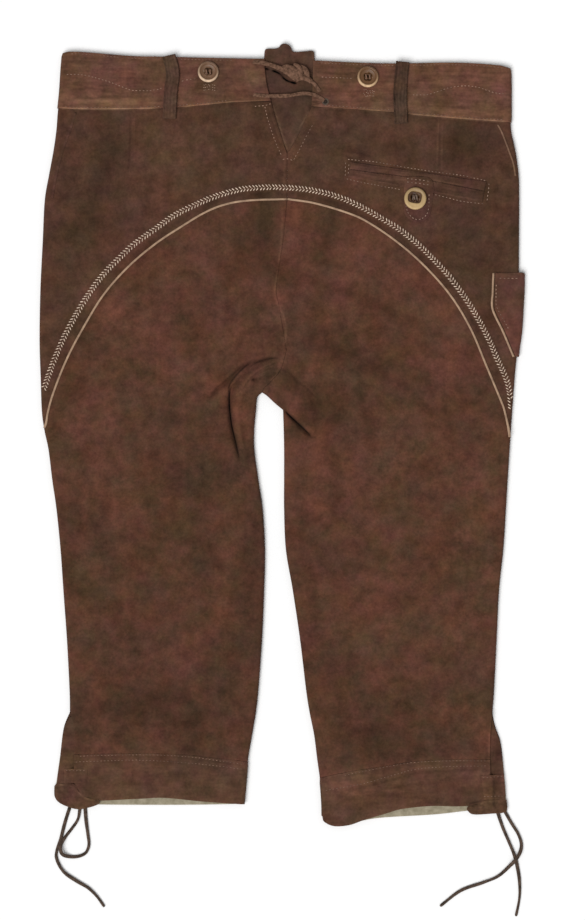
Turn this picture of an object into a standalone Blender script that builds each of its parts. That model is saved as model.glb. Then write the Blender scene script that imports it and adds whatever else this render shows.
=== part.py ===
"""Knee-length lederhosen in brown suede, laid flat with the back side up.

The front lies on the surface, the back lies on the front, and the two meet at half height along the
side folds and the inner leg folds. Every leather piece is a wall of hide: its cut outline is filled
with points, and these are lifted on to the laid form, a flat underside with rounded folds and a back
that dips and rises with the creases of the seat. What is sewn on a panel is lifted from the same
form, moved out.

Plan sizes are millimetres on a laying-out board, given as (right, down) from its top left corner.
The part's origin is the middle of the garment, on the surface that it lies on: +X is the garment's
right side as it lies, +Y its waist and +Z its upper face.
"""

import math

import bmesh
import bpy
import numpy as np
from mathutils.geometry import delaunay_2d_cdt

MM = 0.001
BOARD_MIDDLE = (282.26, 434.81)

# Driving sizes, mm
HIDE = 1.6  # body leather
DOUBLE_HIDE = 2.4  # turned and glued leather of the bands
SEAM = 0.3  # between pieces
LAID = 7.0  # height of both layers at their folds
FOLD_RADIUS = LAID / 2
SETTLED = 0.9  # how far the middle of a panel lies below its folds
SETTLED_FROM = (6.0, 26.0)  # distance from a fold over which it settles
LEAST_HEIGHT = 2 * HIDE + SEAM + 0.1
BAND_RISE = 0.9  # a band stands this far out of the panel beside it
BAND_TOP = LAID - SETTLED + BAND_RISE
UNDERLAY = 1.3  # hide under each open slit
UNDERLAY_TOP = DOUBLE_HIDE + SEAM + UNDERLAY
DRAPE_FROM = 1.2  # distances past a band's edge between which a piece over it comes down
DRAPE_TO = 5.2
CORD_WIDTH = 3.6  # knee laces
TIE_WIDTH = 4.4  # back laces
LOOP_WIDTH = 13.5
PIPING_WIDTH = 2.8
PIPING_RISE = 1.6

# Spacing of points, mm
LATTICE = 22.0
PLAIN_LATTICE = 75.0
ALONG_SEAMS = 20.0
OVER_FOLD = 3.0
SEAM_TURN = 18.0  # how far from a fold a seam's points stay close
CROSSING_STEP = 0.7  # step in which a row is followed to an edge, and the least run between points
CROSSING_CLEAR = 1.6
ALONG_CROTCH = 4.5
RING_ANGLES = (45.0, 90.0)  # rows of points round a fold, in degrees from its edge
CORNER_STEP = 0.6  # radians between points where a row rounds a corner

SLIT_TOP = 712.0
BAND_FOOT = 110.0

# Sections of the laid garment, from the waist down: where the side folds and inner leg folds lie.
# down, outer left, inner left, inner right, outer right
SECTIONS = (
    (50.0, 62.6, None, None, 509.6),
    (68.0, 61.0, None, None, 510.8),
    (90.0, 59.6, None, None, 511.2),
    (112.0, 57.4, None, None, 511.2),
    (130.0, 56.0, None, None, 511.4),
    (150.0, 53.2, None, None, 515.6),
    (175.0, 48.6, None, None, 519.0),
    (200.0, 44.4, None, None, 519.5),
    (240.0, 42.4, None, None, 519.3),
    (290.0, 40.0, None, None, 519.0),
    (340.0, 39.2, None, None, 518.2),
    (375.0, 40.2, None, None, 515.2),
    (410.0, 41.4, 256.0, 283.0, 512.6),
    (430.0, 44.0, 254.2, 283.6, 511.2),
    (450.0, 48.2, 254.4, 284.0, 509.9),
    (480.0, 51.9, 258.4, 284.0, 508.0),
    (510.0, 56.2, 262.8, 284.0, 506.2),
    (550.0, 60.2, 265.0, 285.8, 503.6),
    (590.0, 63.0, 264.2, 292.6, 499.4),
    (640.0, 66.6, 262.0, 300.0, 496.9),
    (690.0, 69.2, 258.4, 306.0, 494.4),
    (712.0, 69.6, 256.0, 309.4, 492.8),
    (735.0, None, 252.2, 314.0, None),
    (760.0, None, 248.0, 317.2, None),
    (785.0, None, 245.6, 320.6, None),
    (804.5, None, 243.9, 322.0, None),
    (816.0, None, None, 322.2, None),
)
CROTCH = ((256.5, 403.0), (257.8, 396.6), (262.0, 392.6), (266.6, 395.6), (275.0, 403.4))

# Seams and edges, left to right or top to bottom. A None takes its place from the fold it meets.
BAND_TOP_LEFT = ((63.2, 53.0), (70, 51.6), (90, 52.4), (131, 55.8), (165, 56.6), (240, 58.3))
BAND_TOP_RIGHT = ((313, 60.2), (357, 62.4), (396, 63.3), (455, 62.5), (496, 64.9), (509.8, 68.2))
WAIST_SEAM_LEFT = ((None, 108.3), (92, 109.4), (160, 108.4), (195, 105.8), (230, 102.3))
WAIST_SEAM_RIGHT = ((320, 106.8), (355, 109.2), (392, 112), (411, 114.5), (460, 118.6), (None, 122.4))
BAND_END_LEFT = ((264.6, 58.5), (265.4, 74), (267.6, 88), (271, 100.8))
BAND_END_RIGHT = ((313.0, 60.2), (312.6, 84), (311.4, 106.4))
V_LEFT = ((271, 100.8), (276, 119.6), (285.0, 147.5), (287.2, 153))
V_RIGHT = ((311.4, 106.4), (304.5, 122), (296, 139), (290, 149.5), (287.2, 153))
CENTRE_BACK = ((287.2, 153), (287.2, 199.0), (283.2, 240), (276.5, 287), (279, 305), (286.5, 350))
CENTRE_CROTCH = ((286.5, 350), (281, 369), (271, 381.4), (264.2, 388.0), (262.0, 392.6))
ARCH_LEFT = (
    (None, 428.6),
    (46.4, 422.4),
    (48.2, 411),
    (54.2, 390.5),
    (67.7, 357),
    (84.8, 325),
    (103.8, 294.4),
    (127.9, 267.1),
    (155.3, 243.9),
    (180, 227.4),
    (205.3, 212.2),
    (227.1, 203.8),
    (251, 200.2),
    (287.2, 199.0),
)
ARCH_RIGHT = (
    (287.2, 199.0),
    (315, 203.2),
    (349.6, 213.5),
    (371.5, 224.2),
    (401.4, 245.2),
    (428.4, 269.8),
    (452.2, 297.8),
    (471, 329.4),
    (485.3, 363),
    (499.2, 396.4),
    (503.6, 407.6),
    (506.2, 418),
    (507.7, 428),
    (508.2, 434.0),
    (None, 437.4),
)
CENTRE_FRONT = ((287.2, 60), (287.2, 200), (287.2, 345))
SLIT_EDGE_LEFT = ((69.6, 712), (72.6, 722), (74, 734), (74, 754.6))
SLIT_EDGE_RIGHT = ((492.8, 712), (491.4, 724), (490.4, 738), (490.4, 759.4))
UNDERLAP_LEFT = ((69.6, 712), (64.4, 724), (62, 735), (59.6, 756))
UNDERLAP_RIGHT = ((492.8, 712), (495.4, 726), (501, 742), (503.2, 759))
KNEE_SEAM_LEFT = ((74, 754.6), (110, 753.8), (150, 753.4), (186, 755), (214, 758), (None, 761.6))
KNEE_SEAM_RIGHT = ((None, 778), (345, 772.6), (398, 764), (420, 761.2), (452, 759.6), (490.4, 759.4))
KNEE_END_LEFT = ((74, 754.6), (74, 776), (76, 799.6))
KNEE_END_RIGHT = ((490.4, 759.4), (490.6, 780), (490.2, 804.4))
HEM_BACK_LEFT = ((76, 799.6), (100, 800.8), (141.6, 798.8), (165, 798), (205, 802), (None, 804.5))
HEM_BACK_RIGHT = (
    (None, 816),
    (323.6, 821.2),
    (330, 825.2),
    (338, 826.5),
    (350.6, 825),
    (364, 820.2),
    (386, 813.7),
    (401.6, 809.2),
    (430, 806.2),
    (460, 806.4),
    (490.2, 804.4),
)
KNEE_END_FRONT_LEFT = ((59.6, 756), (56.8, 776), (55.4, 788), (58, 799), (66, 804.6))
KNEE_END_FRONT_RIGHT = ((503.2, 759), (505.2, 780), (506.6, 800), (505.6, 808.6))
HEM_FRONT_LEFT = ((66, 804.6), (110, 805.4), (170, 805.6), (215, 805.2), (None, 804.5))
HEM_FRONT_RIGHT = (
    (None, 816),
    (323.8, 820.6),
    (330, 824.6),
    (338, 826),
    (352, 824),
    (379, 818.7),
    (433.5, 815.3),
    (467, 811.6),
    (490, 809.4),
    (505.6, 808.6),
)

# Creases of the back: a soft trough along a route, with a ridge beside it where the hide rolls.
# depth, half width, ridge rise, ridge side (1 is right of the route), ridge width, route
CREASES = (
    (2.7, 2.4, 2.6, -1, 7.0, ((270, 364), (252, 368), (238, 382), (230.6, 400), (231, 424), (241, 467))),
    (2.3, 2.4, 1.6, -1, 6.0, ((283, 355), (264, 359.7), (244, 365), (230, 379), (216, 391), (205, 403))),
    (2.4, 5.5, 1.6, 1, 9.0, ((283, 362), (288, 373), (298, 385), (309, 397), (316, 414))),
    (2.7, 2.0, 2.2, -1, 6.0, ((279, 406), (293, 419), (304, 431), (314, 437.5))),
    (1.9, 8.0, 1.0, 1, 14.0, ((303, 342), (326, 346), (350, 353), (372, 362), (398, 378))),
    (1.2, 5.0, 0.6, 1, 10.0, ((287, 280), (312, 277), (350, 291.5), (390, 309), (438, 335))),
    (1.3, 4.0, 0.6, 1, 7.0, ((353, 388), (362, 404), (370, 428))),
    (1.5, 6.0, 0.7, -1, 10.0, ((196, 523), (212, 552), (230, 570))),
    (1.3, 7.0, 0.5, 1, 12.0, ((326, 436), (338, 470), (334, 522))),
    (1.2, 6.0, 0.5, -1, 10.0, ((309, 556), (314, 604), (318, 652))),
    (1.2, 4.0, 0.6, -1, 8.0, ((336, 144), (352, 149), (374, 157))),
    (1.0, 4.5, 0.5, 1, 8.0, ((106, 190), (136, 182), (162, 172))),
    (1.0, 3.0, 0.5, 1, 6.0, ((358, 800), (381, 794), (407, 796))),
)

# Broad swells and hollows of the back.
# right, down, half length, half width, turn in degrees, rise
SWELLS = (
    (150, 300, 75, 55, 35, 1.3),
    (405, 305, 75, 55, -35, 1.3),
    (318, 325, 34, 24, 25, 2.0),
    (232, 342, 34, 18, -25, 2.0),
    (262, 326, 22, 9, 0, -1.6),
    (259, 231, 11, 20, 0, -1.5),
    (150, 470, 60, 90, 0, 1.2),
    (400, 490, 60, 100, 0, 1.2),
    (186, 712, 62, 16, 4, -1.3),
    (350, 712, 34, 22, 20, -1.3),
    (76, 190, 14, 50, 8, -1.3),
    (214, 600, 16, 70, 0, -0.9),
    (470, 215, 26, 34, 0, -0.9),
)

POCKET_FRAME = ((350.5, 161.5), (487.0, 181.5), (482.5, 202.0), (347.5, 177.0))
POCKET_MOUTH = ((349.5, 169.3), (419, 178.6), (484.5, 191.0))
POCKET_TAB = (
    (404.5, 176.5),
    (431.5, 180.0),
    (431.2, 209),
    (427, 218.5),
    (418, 222.5),
    (409.5, 219.5),
    (404, 210),
)
SIDE_POCKET_EDGE = ((495.4, 272.6), (494.6, 292), (494.6, 309), (504.8, 331), (515.4, 356.4))
SIDE_POCKET_LIP = ((525.3, 272.6), (525.2, 288), (524.4, 304), (522.8, 330), (520.6, 346), (519.4, 357))
HIP_PIPING_LEFT = ((75.6, 112.4), (69.6, 131), (61.6, 153), (55.6, 178), (52.2, 198))
HIP_PIPING_RIGHT = ((497.6, 124.6), (501.2, 131), (505.2, 141), (510.0, 154), (513.4, 164), (515.4, 176))
LOOP_LEFT = ((169.4, 55.6), (174.4, 74), (171.4, 92), (169.2, 118.6))
LOOP_RIGHT = ((404.0, 62.0), (401.4, 80), (400.4, 100), (401.6, 123.4))
GUSSET = (
    (263.8, 60),
    (264.4, 51),
    (266, 48.4),
    (277.6, 47.6),
    (280.4, 44.4),
    (284.2, 43.2),
    (288.4, 44.4),
    (291.4, 47.2),
    (293.4, 51.2),
    (305.6, 50.6),
    (309.6, 50.0),
    (314.2, 51.4),
    (315.0, 61),
    (318.6, 84),
    (317.4, 104),
    (300.5, 144),
    (288.2, 160),
    (279.5, 150),
    (263.6, 101),
    (260.0, 80),
)
GUSSET_RIDGE = ((285.0, 45.0), (286.6, 52), (289.0, 61))

SLIT_LEFT = (
    (69.8, 717),
    (65.8, 725),
    (63.4, 736),
    (61, 756),
    (58, 776),
    (57.2, 782.6),
    (81, 782.6),
    (81, 717),
)
SLIT_RIGHT = (
    (492.0, 717),
    (494.6, 728),
    (499.8, 742),
    (502, 758),
    (503.8, 776),
    (505.2, 799),
    (483, 799),
    (483, 717),
)
LACE_TAB_LEFT = ((64.0, 768.8), (87.4, 768.2), (87.2, 779.2), (84, 782.2), (63.6, 782.0))
LACE_TAB_RIGHT = ((480.8, 775.4), (504.0, 774.6), (505.4, 787), (505.8, 798.2), (481.4, 798.6))
CASING_LEFT = (
    (53.9, 786.4),
    (54.2, 796.6),
    (58.8, 803.0),
    (68.0, 807.4),
    (78.0, 809.8),
    (89.0, 808.0),
    (98.4, 804.6),
    (99.6, 801.6),
    (97.0, 799.0),
    (86.0, 797.0),
    (79.0, 791.8),
    (73.4, 786.0),
    (62.0, 783.6),
    (56.6, 783.6),
)
CASING_RIGHT = (
    (507.0, 800.4),
    (507.6, 808.4),
    (505.4, 812.8),
    (492.0, 814.2),
    (474.0, 815.0),
    (468.4, 812.0),
    (466.6, 808.4),
    (469.4, 805.4),
    (478.6, 803.8),
    (483.0, 800.6),
    (494.0, 799.9),
)

# Free laces: (right, down) of each point, from where they leave the casing.
LACE_LEFT_TAIL = (
    (69.6, 807.0),
    (64.4, 823.5),
    (60.4, 839),
    (56.4, 851),
    (56.2, 860),
    (63, 872.5),
    (75.7, 881.6),
    (88, 889),
    (97, 898),
    (104, 907.7),
)
LACE_LEFT_LOOP = (
    (84.6, 807.6),
    (85.6, 821),
    (87.4, 835),
    (88.4, 846),
    (84.4, 854.4),
    (74, 857.6),
    (62.8, 855.2),
    (60.2, 847),
    (64.4, 838.4),
    (71.6, 829),
    (77.4, 820),
    (79.4, 809.4),
)
LACE_RIGHT_INNER = (
    (497.4, 811.2),
    (503.0, 828),
    (509.4, 843),
    (515, 857),
    (518.2, 870),
    (520, 884),
    (519.8, 899),
    (516.4, 917),
)
LACE_RIGHT_OUTER = (
    (504.8, 811.4),
    (511.5, 823.4),
    (518.4, 834.6),
    (521.8, 846),
    (518.6, 856),
    (509.4, 867.4),
    (497.6, 877.6),
    (483, 883.6),
    (461, 891.5),
    (440.4, 907),
)
# Where one lace lies over another: right, down, half length of the hump
LACE_HUMPS = {
    "knee_lace_left_loop": ((60.0, 849.0, 15.0),),
    "knee_lace_right_outer": ((517.0, 859.0, 14.0),),
}

# Laces that pull the V together: right, down, height of the lace's middle over the bands' surface
TIE_UPPER_LEFT = ((253.0, 61.6, 2.55), (262, 62.8, 3.0), (272, 65.4, 2.4), (280, 68.6, 2.8), (285.6, 70.6, 3.4))
TIE_UPPER_RIGHT = ((302.0, 73.4, 3.6), (308, 78.2, 3.4), (314.4, 84.2, 3.0), (319.8, 91.6, 2.55))
TIE_LOWER = (
    (253.4, 94.6, 2.55),
    (264, 95.8, 2.9),
    (277, 96.0, 1.6),
    (290, 95.4, 1.4),
    (303, 93.4, 1.8),
    (314.6, 95.0, 2.9),
    (324.2, 100.6, 2.55),
)
TIE_KNOT = (293.8, 71.4)
TIE_KNOT_SIZE = (15.6, 12.4, 8.0)
KNOT_SUNK = 1.6  # how far the knot lies down in the gap of the bands

# The button's half profile: distance from the axis and height, as parts of its radius
BUTTON_PROFILE = (
    (0.90, 0.0),
    (0.98, 0.09),
    (1.0, 0.17),
    (0.97, 0.27),
    (0.88, 0.325),
    (0.78, 0.30),
    (0.68, 0.22),
    (0.5, 0.18),
)
BUTTON_SIDES = 22
BUTTON_HOLE = 1.1
BUTTON_HOLE_SPREAD = 2.1
BUTTONS = (  # name, right, down, height of the leather under it, width
    ("waist_button_left", 208.3, 72.0, BAND_RISE, 21.0),
    ("waist_button_right", 367.9, 77.0, BAND_RISE, 21.2),
    ("pocket_button", 415.1, 198.9, 2 * HIDE + SEAM + 0.3, 22.4),
)

SUEDE = (0.095, 0.042, 0.027)
SUEDE_BAND = (0.130, 0.060, 0.038)
SUEDE_DARK = (0.070, 0.036, 0.024)
PIPING_TAN = (0.340, 0.210, 0.120)
LACE_BROWN = (0.060, 0.034, 0.022)
HORN = (0.420, 0.270, 0.130)


# ---------------------------------------------------------------- plan curves


def spaced(line, step):
    """Points at even distances of about one step along a line."""
    line = np.asarray(line, float)
    along = np.concatenate([[0.0], np.cumsum(np.linalg.norm(np.diff(line, axis=0), axis=1))])
    at = np.linspace(0.0, along[-1], max(1, round(along[-1] / step)) + 1)
    return np.column_stack([np.interp(at, along, column) for column in line.T])


def smooth(points, step):
    """Points about one step apart on a smooth curve through the given ones."""
    points = np.asarray(points, float)
    ends = np.vstack([2 * points[0] - points[1], points, 2 * points[-1] - points[-2]])
    t = np.linspace(0.0, 1.0, 16, endpoint=False)[:, None]
    runs = []
    for a, b, c, d in zip(ends, ends[1:], ends[2:], ends[3:]):
        cubic = 2 * b + (c - a) * t + (2 * a - 5 * b + 4 * c - d) * t**2 + (3 * b - a - 3 * c + d) * t**3
        runs.append(0.5 * cubic)
    return spaced(np.vstack(runs + [points[-1:]]), step)


def section_line(column, top, foot):
    """The places of one fold in the sections between two levels, top to bottom."""
    return [(row[column], row[0]) for row in SECTIONS if row[column] and top <= row[0] <= foot]


OUTER_LEFT = smooth(section_line(1, 0, SLIT_TOP), ALONG_SEAMS)
OUTER_RIGHT = smooth(section_line(4, 0, SLIT_TOP), ALONG_SEAMS)
INNER_LEFT = smooth(section_line(2, 0, 900), ALONG_SEAMS)
INNER_RIGHT = smooth(section_line(3, 0, 900), ALONG_SEAMS)
CROTCH_LEFT = smooth((tuple(INNER_LEFT[0]),) + CROTCH[:3], ALONG_CROTCH)
CROTCH_RIGHT = smooth(CROTCH[2:] + (tuple(INNER_RIGHT[0]),), ALONG_CROTCH)
INNER_LINE = np.vstack([INNER_LEFT[::-1], CROTCH_LEFT[1:], CROTCH_RIGHT[1:], INNER_RIGHT[1:]])
FOLDS = (OUTER_LEFT, INNER_LINE, OUTER_RIGHT)


def fold_at(line, down):
    """The point of a fold at a level."""
    return float(np.interp(down, line[:, 1], line[:, 0])), down


def between(line, top, foot):
    """The stretch of a fold between two levels, top to bottom, with its own points between them."""
    own = [tuple(p) for p in line if top + 1.0 < p[1] < foot - 1.0]
    return np.array([fold_at(line, top)] + own + [fold_at(line, foot)])


def seam(points, fold=None, step=ALONG_SEAMS):
    """A smooth seam line, with closer points where it turns over the fold that it meets."""
    ends = [p[0] is None for p in (points[0], points[-1])]
    line = smooth([fold_at(fold, p[1]) if p[0] is None else p for p in points], OVER_FOLD)
    along = OVER_FOLD * np.arange(len(line))
    keep = np.zeros(len(line), bool)
    keep[:: max(1, round(step / OVER_FOLD))] = True
    keep[[0, -1]] = True
    if ends[0]:
        keep |= along < SEAM_TURN
    if ends[1]:
        keep |= along > along[-1] - SEAM_TURN
    return line[keep]


def outline(*runs):
    """One closed outline from runs that meet end to end."""
    points = np.vstack(runs)
    apart = np.linalg.norm(points - np.roll(points, 1, axis=0), axis=1)
    return points[apart > 0.4]


def signed_area(loop):
    """Area of a loop, positive where it runs clockwise as seen on the board."""
    after = np.roll(loop, -1, axis=0)
    return 0.5 * float(np.sum(loop[:, 0] * after[:, 1] - after[:, 0] * loop[:, 1]))


def inset(loop, by):
    """The loop drawn in by a distance, with its corners kept."""
    loop = loop if signed_area(loop) > 0 else loop[::-1]
    ahead = np.roll(loop, -1, axis=0) - loop
    ahead /= np.linalg.norm(ahead, axis=1)[:, None]
    inward = np.column_stack([-ahead[:, 1], ahead[:, 0]])
    before = np.roll(inward, 1, axis=0)
    spread = np.maximum(1.0 + np.sum(inward * before, axis=1), 0.35)
    return loop + by * (inward + before) / spread[:, None]


def beside(line, by):
    """A line beside another, to the right of its run where by is positive, rounding its corners."""
    ahead = np.diff(line, axis=0)
    ahead /= np.linalg.norm(ahead, axis=1)[:, None]
    aside = np.column_stack([-ahead[:, 1], ahead[:, 0]])
    points = []
    for place, before, after in zip(line, aside[[0, *range(len(aside))]], aside[[*range(len(aside)), -1]]):
        turn = math.atan2(before[0] * after[1] - before[1] * after[0], float(before @ after))
        fan = max(2, math.ceil(abs(turn) / CORNER_STEP) + 1) if turn * by < -CORNER_STEP else 1
        for part in range(fan):
            angle = turn * (part / (fan - 1) if fan > 1 else 0.5)
            c, s = math.cos(angle), math.sin(angle)
            stretch = 1.0 if fan > 1 else 1.0 / max(math.cos(turn / 2), 0.5)
            spoke = np.array([before[0] * c - before[1] * s, before[0] * s + before[1] * c])
            points.append(place + by * stretch * spoke)
    return np.array(points)


def strip(line, width, step):
    """The outline of a strip of even width along a smooth line."""
    middle = smooth(line, step)
    return np.vstack([beside(middle, width / 2), beside(middle, -width / 2)[::-1]])


def nearest(points, line):
    """Distance to a line, the nearest place on it, how far along it is, and the side it is on."""
    a, b = line[:-1], line[1:]
    run = b - a
    length = np.maximum(np.linalg.norm(run, axis=1), 1e-9)
    gap = points[:, None, :] - a[None]
    t = np.clip(np.sum(gap * run, axis=2) / length**2, 0.0, 1.0)
    foot = a + t[..., None] * run
    away = np.linalg.norm(points[:, None, :] - foot, axis=2)
    pick = np.argmin(away, axis=1)
    rows = np.arange(len(points))
    start = np.concatenate([[0.0], np.cumsum(length)])
    cross = run[pick, 0] * gap[rows, pick, 1] - run[pick, 1] * gap[rows, pick, 0]
    along = (start[pick] + t[rows, pick] * length[pick]) / start[-1]
    return away[rows, pick], foot[rows, pick], along, np.sign(cross)


def inside(points, loop):
    """Which points lie inside a closed loop."""
    x, y = points[:, 0][:, None], points[:, 1][:, None]
    x0, y0 = loop.T
    x1, y1 = np.roll(loop, -1, axis=0).T
    level = np.where(y1 == y0, 1e-9, y1 - y0)
    crossed = ((y0 > y) != (y1 > y)) & (x < x0 + (y - y0) * (x1 - x0) / level)
    return np.sum(crossed, axis=1) % 2 == 1


# ---------------------------------------------------------------- the laid form


def ease(t):
    """0 below 0, 1 above 1, and smooth between."""
    t = np.clip(t, 0.0, 1.0)
    return t * t * (3.0 - 2.0 * t)


def fold_distance(points):
    """Distance to the nearest fold, and the direction that points out over it."""
    found = [nearest(points, line)[:2] for line in FOLDS]
    away = np.stack([f[0] for f in found])
    pick = np.argmin(away, axis=0)
    rows = np.arange(len(points))
    foot = np.stack([f[1] for f in found])[pick, rows]
    out = (foot - points) / np.maximum(away[pick, rows], 1e-6)[:, None]
    return np.maximum(away[pick, rows] - SEAM / 2, 0.0), out


def crease_rise(points):
    """What the creases add to the height of the back."""
    rise = np.zeros(len(points))
    for depth, width, ridge, side, ridge_width, route in CREASES:
        away, _, along, sign = nearest(points, smooth(route, 6.0))
        fade = ease(4.0 * np.minimum(along, 1.0 - along) + 0.12)
        rise -= fade * depth * np.exp(-((away / width) ** 2))
        off_crest = (away * sign * side - 1.3 * width - 0.6 * ridge_width) / ridge_width
        rise += fade * ridge * np.exp(-(off_crest**2) * 2.0)
    return rise


def swell_rise(points):
    """What the broad swells and hollows add."""
    rise = np.zeros(len(points))
    for right, down, length, width, turn, height in SWELLS:
        c, s = math.cos(math.radians(turn)), math.sin(math.radians(turn))
        dx, dy = points[:, 0] - right, points[:, 1] - down
        along, across = (dx * c + dy * s) / length, (dy * c - dx * s) / width
        rise += height * np.exp(-(along**2 + across**2))
    return rise


def back_height(points):
    """Height of the back's upper face."""
    away = fold_distance(points)[0]
    start, stop = SETTLED_FROM
    rise = crease_rise(points) + swell_rise(points)
    level = LAID - SETTLED * ease((away - start) / (stop - start))
    return np.maximum(level + rise * ease((away - 2.0) / 8.0), LEAST_HEIGHT)


def back_form(points, level):
    """Points at a level above the back's upper face, in mm, turning down round the folds."""
    away, out = fold_distance(points)
    turn = np.arccos(np.clip(1.0 - away / FOLD_RADIUS, 0.0, 1.0))
    low = FOLD_RADIUS + SEAM / 2
    z = low + (back_height(points) - low) * np.sin(turn)
    flat = points + out * (np.cos(turn) * level)[:, None]
    return np.column_stack([flat, z + np.sin(turn) * level])


def front_form(points, level):
    """Points at a level out of the front's lower face, in mm, turning up round the folds."""
    away, out = fold_distance(points)
    turn = np.arccos(np.clip(1.0 - away / FOLD_RADIUS, 0.0, 1.0))
    z = (FOLD_RADIUS - SEAM / 2) * (1.0 - np.sin(turn))
    flat = points + out * (np.cos(turn) * level)[:, None]
    return np.column_stack([flat, z - np.sin(turn) * level])


def side_pocket_form(points, level):
    """Points at a level above the back on the side pocket, whose lip rolls down past the fold."""
    lip = smooth(SIDE_POCKET_LIP, 6.0)
    top = back_height(points)
    radius = LAID - FOLD_RADIUS + SEAM + HIDE
    straight = 0.8
    away = np.maximum(np.interp(points[:, 1], lip[:, 1], lip[:, 0]) - points[:, 0] - SEAM / 2, 0.0)
    turn = np.arccos(np.clip(1.0 - (away - straight) / (radius - straight), 0.0, 1.0))
    edge = points[:, 0] + away
    inner = radius - HIDE
    reach = inner + level - SEAM
    rolled = away < radius
    x = np.where(rolled, edge - radius + reach * np.cos(turn), points[:, 0])
    drop = np.clip(1.0 - away / straight, 0.0, 1.0) * (FOLD_RADIUS - SEAM)
    crown = np.where(rolled, top - LAID + FOLD_RADIUS, 0.0)
    z = np.where(rolled, crown + reach * np.sin(turn) - drop, top + level)
    z = np.where(away < straight, FOLD_RADIUS - drop, z)
    return np.column_stack([x, points[:, 1], z])


# ---------------------------------------------------------------- solids


def material(name, colour, roughness=0.9, metallic=0.0):
    """A plain material for a kind of piece, made once."""
    found = bpy.data.materials.get(name)
    if found:
        return found
    made = bpy.data.materials.new(name)
    made.use_nodes = True
    made.diffuse_color = (*colour, 1.0)
    shader = made.node_tree.nodes["Principled BSDF"]
    shader.inputs["Base Color"].default_value = (*colour, 1.0)
    shader.inputs["Roughness"].default_value = roughness
    shader.inputs["Metallic"].default_value = metallic
    return made


def to_world(points):
    """Board millimetres with a height, as metres from the origin."""
    x = (points[:, 0] - BOARD_MIDDLE[0]) * MM
    y = (BOARD_MIDDLE[1] - points[:, 1]) * MM
    return np.column_stack([x, y, points[:, 2] * MM])


def add_object(name, mesh, finish):
    """Put a mesh in the scene as one named piece, smooth over its round stretches."""
    mesh.shade_smooth()
    mesh.set_sharp_from_angle(angle=math.radians(50))
    piece = bpy.data.objects.new(name, mesh)
    piece.data.materials.append(finish)
    bpy.context.scene.collection.objects.link(piece)
    return piece


def fold_rows(loop):
    """Rows of points beside each fold, inside a loop."""
    rows = []
    for line in FOLDS:
        for angle in RING_ANGLES:
            by = FOLD_RADIUS * (1.0 - math.cos(math.radians(angle))) + SEAM / 2
            rows += [beside(line, by), beside(line, -by)]
    return [piece for row in rows for piece in crossing(row, loop)]


def crease_rows(loop):
    """Rows of points along each crease and its ridge, inside a loop."""
    rows = []
    for _, width, _, side, ridge_width, route in CREASES:
        line = smooth(route, 9.0)
        rows.append(line)
        rows.append(beside(line, -side * 1.2 * width))
        rows.append(beside(line, side * (1.3 * width + 0.6 * ridge_width)))
    return [piece for row in rows for piece in crossing(row, loop)]


def crossing(row, loop):
    """The runs of a row that lie inside a loop, each reaching just over its edge."""
    row = np.asarray(row, float)
    along = np.concatenate([[0.0], np.cumsum(np.linalg.norm(np.diff(row, axis=0), axis=1))])
    fine = np.linspace(0.0, along[-1], max(2, round(along[-1] / CROSSING_STEP)))

    def place(at):
        return np.column_stack([np.interp(at, along, column) for column in row.T])

    within = inside(place(fine), loop)
    marks = np.flatnonzero(np.diff(np.concatenate([[False], within, [False]]).astype(int)))
    runs = []
    for start, stop in zip(marks[::2], marks[1::2]):
        low, high = fine[max(start - 1, 0)], fine[min(stop, len(fine) - 1)]
        own = along[(along > low + CROSSING_CLEAR) & (along < high - CROSSING_CLEAR)]
        if high - low > CROSSING_CLEAR:
            runs.append(place(np.concatenate([[low], own, [high]])))
    return runs


def lattice(loop, rows, step):
    """A lattice of points inside a loop, clear of its edge and of the rows."""
    low, high = loop.min(axis=0), loop.max(axis=0)
    across, down = np.meshgrid(
        np.arange(low[0], high[0], step), np.arange(low[1], high[1], step * math.sqrt(0.75))
    )
    across[1::2] += step / 2
    points = np.column_stack([across.ravel(), down.ravel()])
    points = points[inside(points, loop)]
    for row in rows + [np.vstack([loop, loop[:1]])]:
        if not len(points):
            break
        line = row if len(row) > 1 else np.vstack([row, row + 0.1])
        points = points[nearest(points, line)[0] > 0.5 * step]
    return points


def filled(loop, rows, step):
    """Triangles over a loop whose edges follow it and the rows: points and faces."""
    points = [loop]
    edges = [(k, (k + 1) % len(loop)) for k in range(len(loop))]
    count = len(loop)
    for row in rows:
        points.append(row)
        edges += [(count + k, count + k + 1) for k in range(len(row) - 1)]
        count += len(row)
    points.append(lattice(loop, rows, step))
    flat = [tuple(map(float, p)) for p in np.vstack(points)]
    found, _, faces, _, _, _ = delaunay_2d_cdt(flat, edges, [], 1, 0.05)
    return np.array([tuple(p) for p in found]), faces


def wall(name, loop, finish, form, lower, upper, step=LATTICE, rows=(), creased=True):
    """A piece of hide: its cut outline on the laid form, between two levels."""
    loop = inset(np.asarray(loop, float), SEAM / 2)
    rows = list(rows) + fold_rows(loop) + (crease_rows(loop) if creased else [])
    points, faces = filled(loop, rows, step)
    levels = [level(points) if callable(level) else np.full(len(points), level) for level in (upper, lower)]
    made = bmesh.new()
    top, foot = ([made.verts.new(p) for p in to_world(form(points, level))] for level in levels)
    sides = {}
    for face in faces:
        made.faces.new([top[k] for k in face])
        made.faces.new([foot[k] for k in reversed(face)])
        for a, b in zip(face, list(face[1:]) + [face[0]]):
            if sides.pop((b, a), None) is None:
                sides[(a, b)] = True
    for a, b in sides:
        made.faces.new([top[b], top[a], foot[a], foot[b]])
    loose = [v for v in made.verts if not v.link_faces]
    bmesh.ops.delete(made, geom=loose, context="VERTS")
    bmesh.ops.recalc_face_normals(made, faces=made.faces)
    mesh = bpy.data.meshes.new(name)
    made.to_mesh(mesh)
    made.free()
    return add_object(name, mesh, finish)


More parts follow.
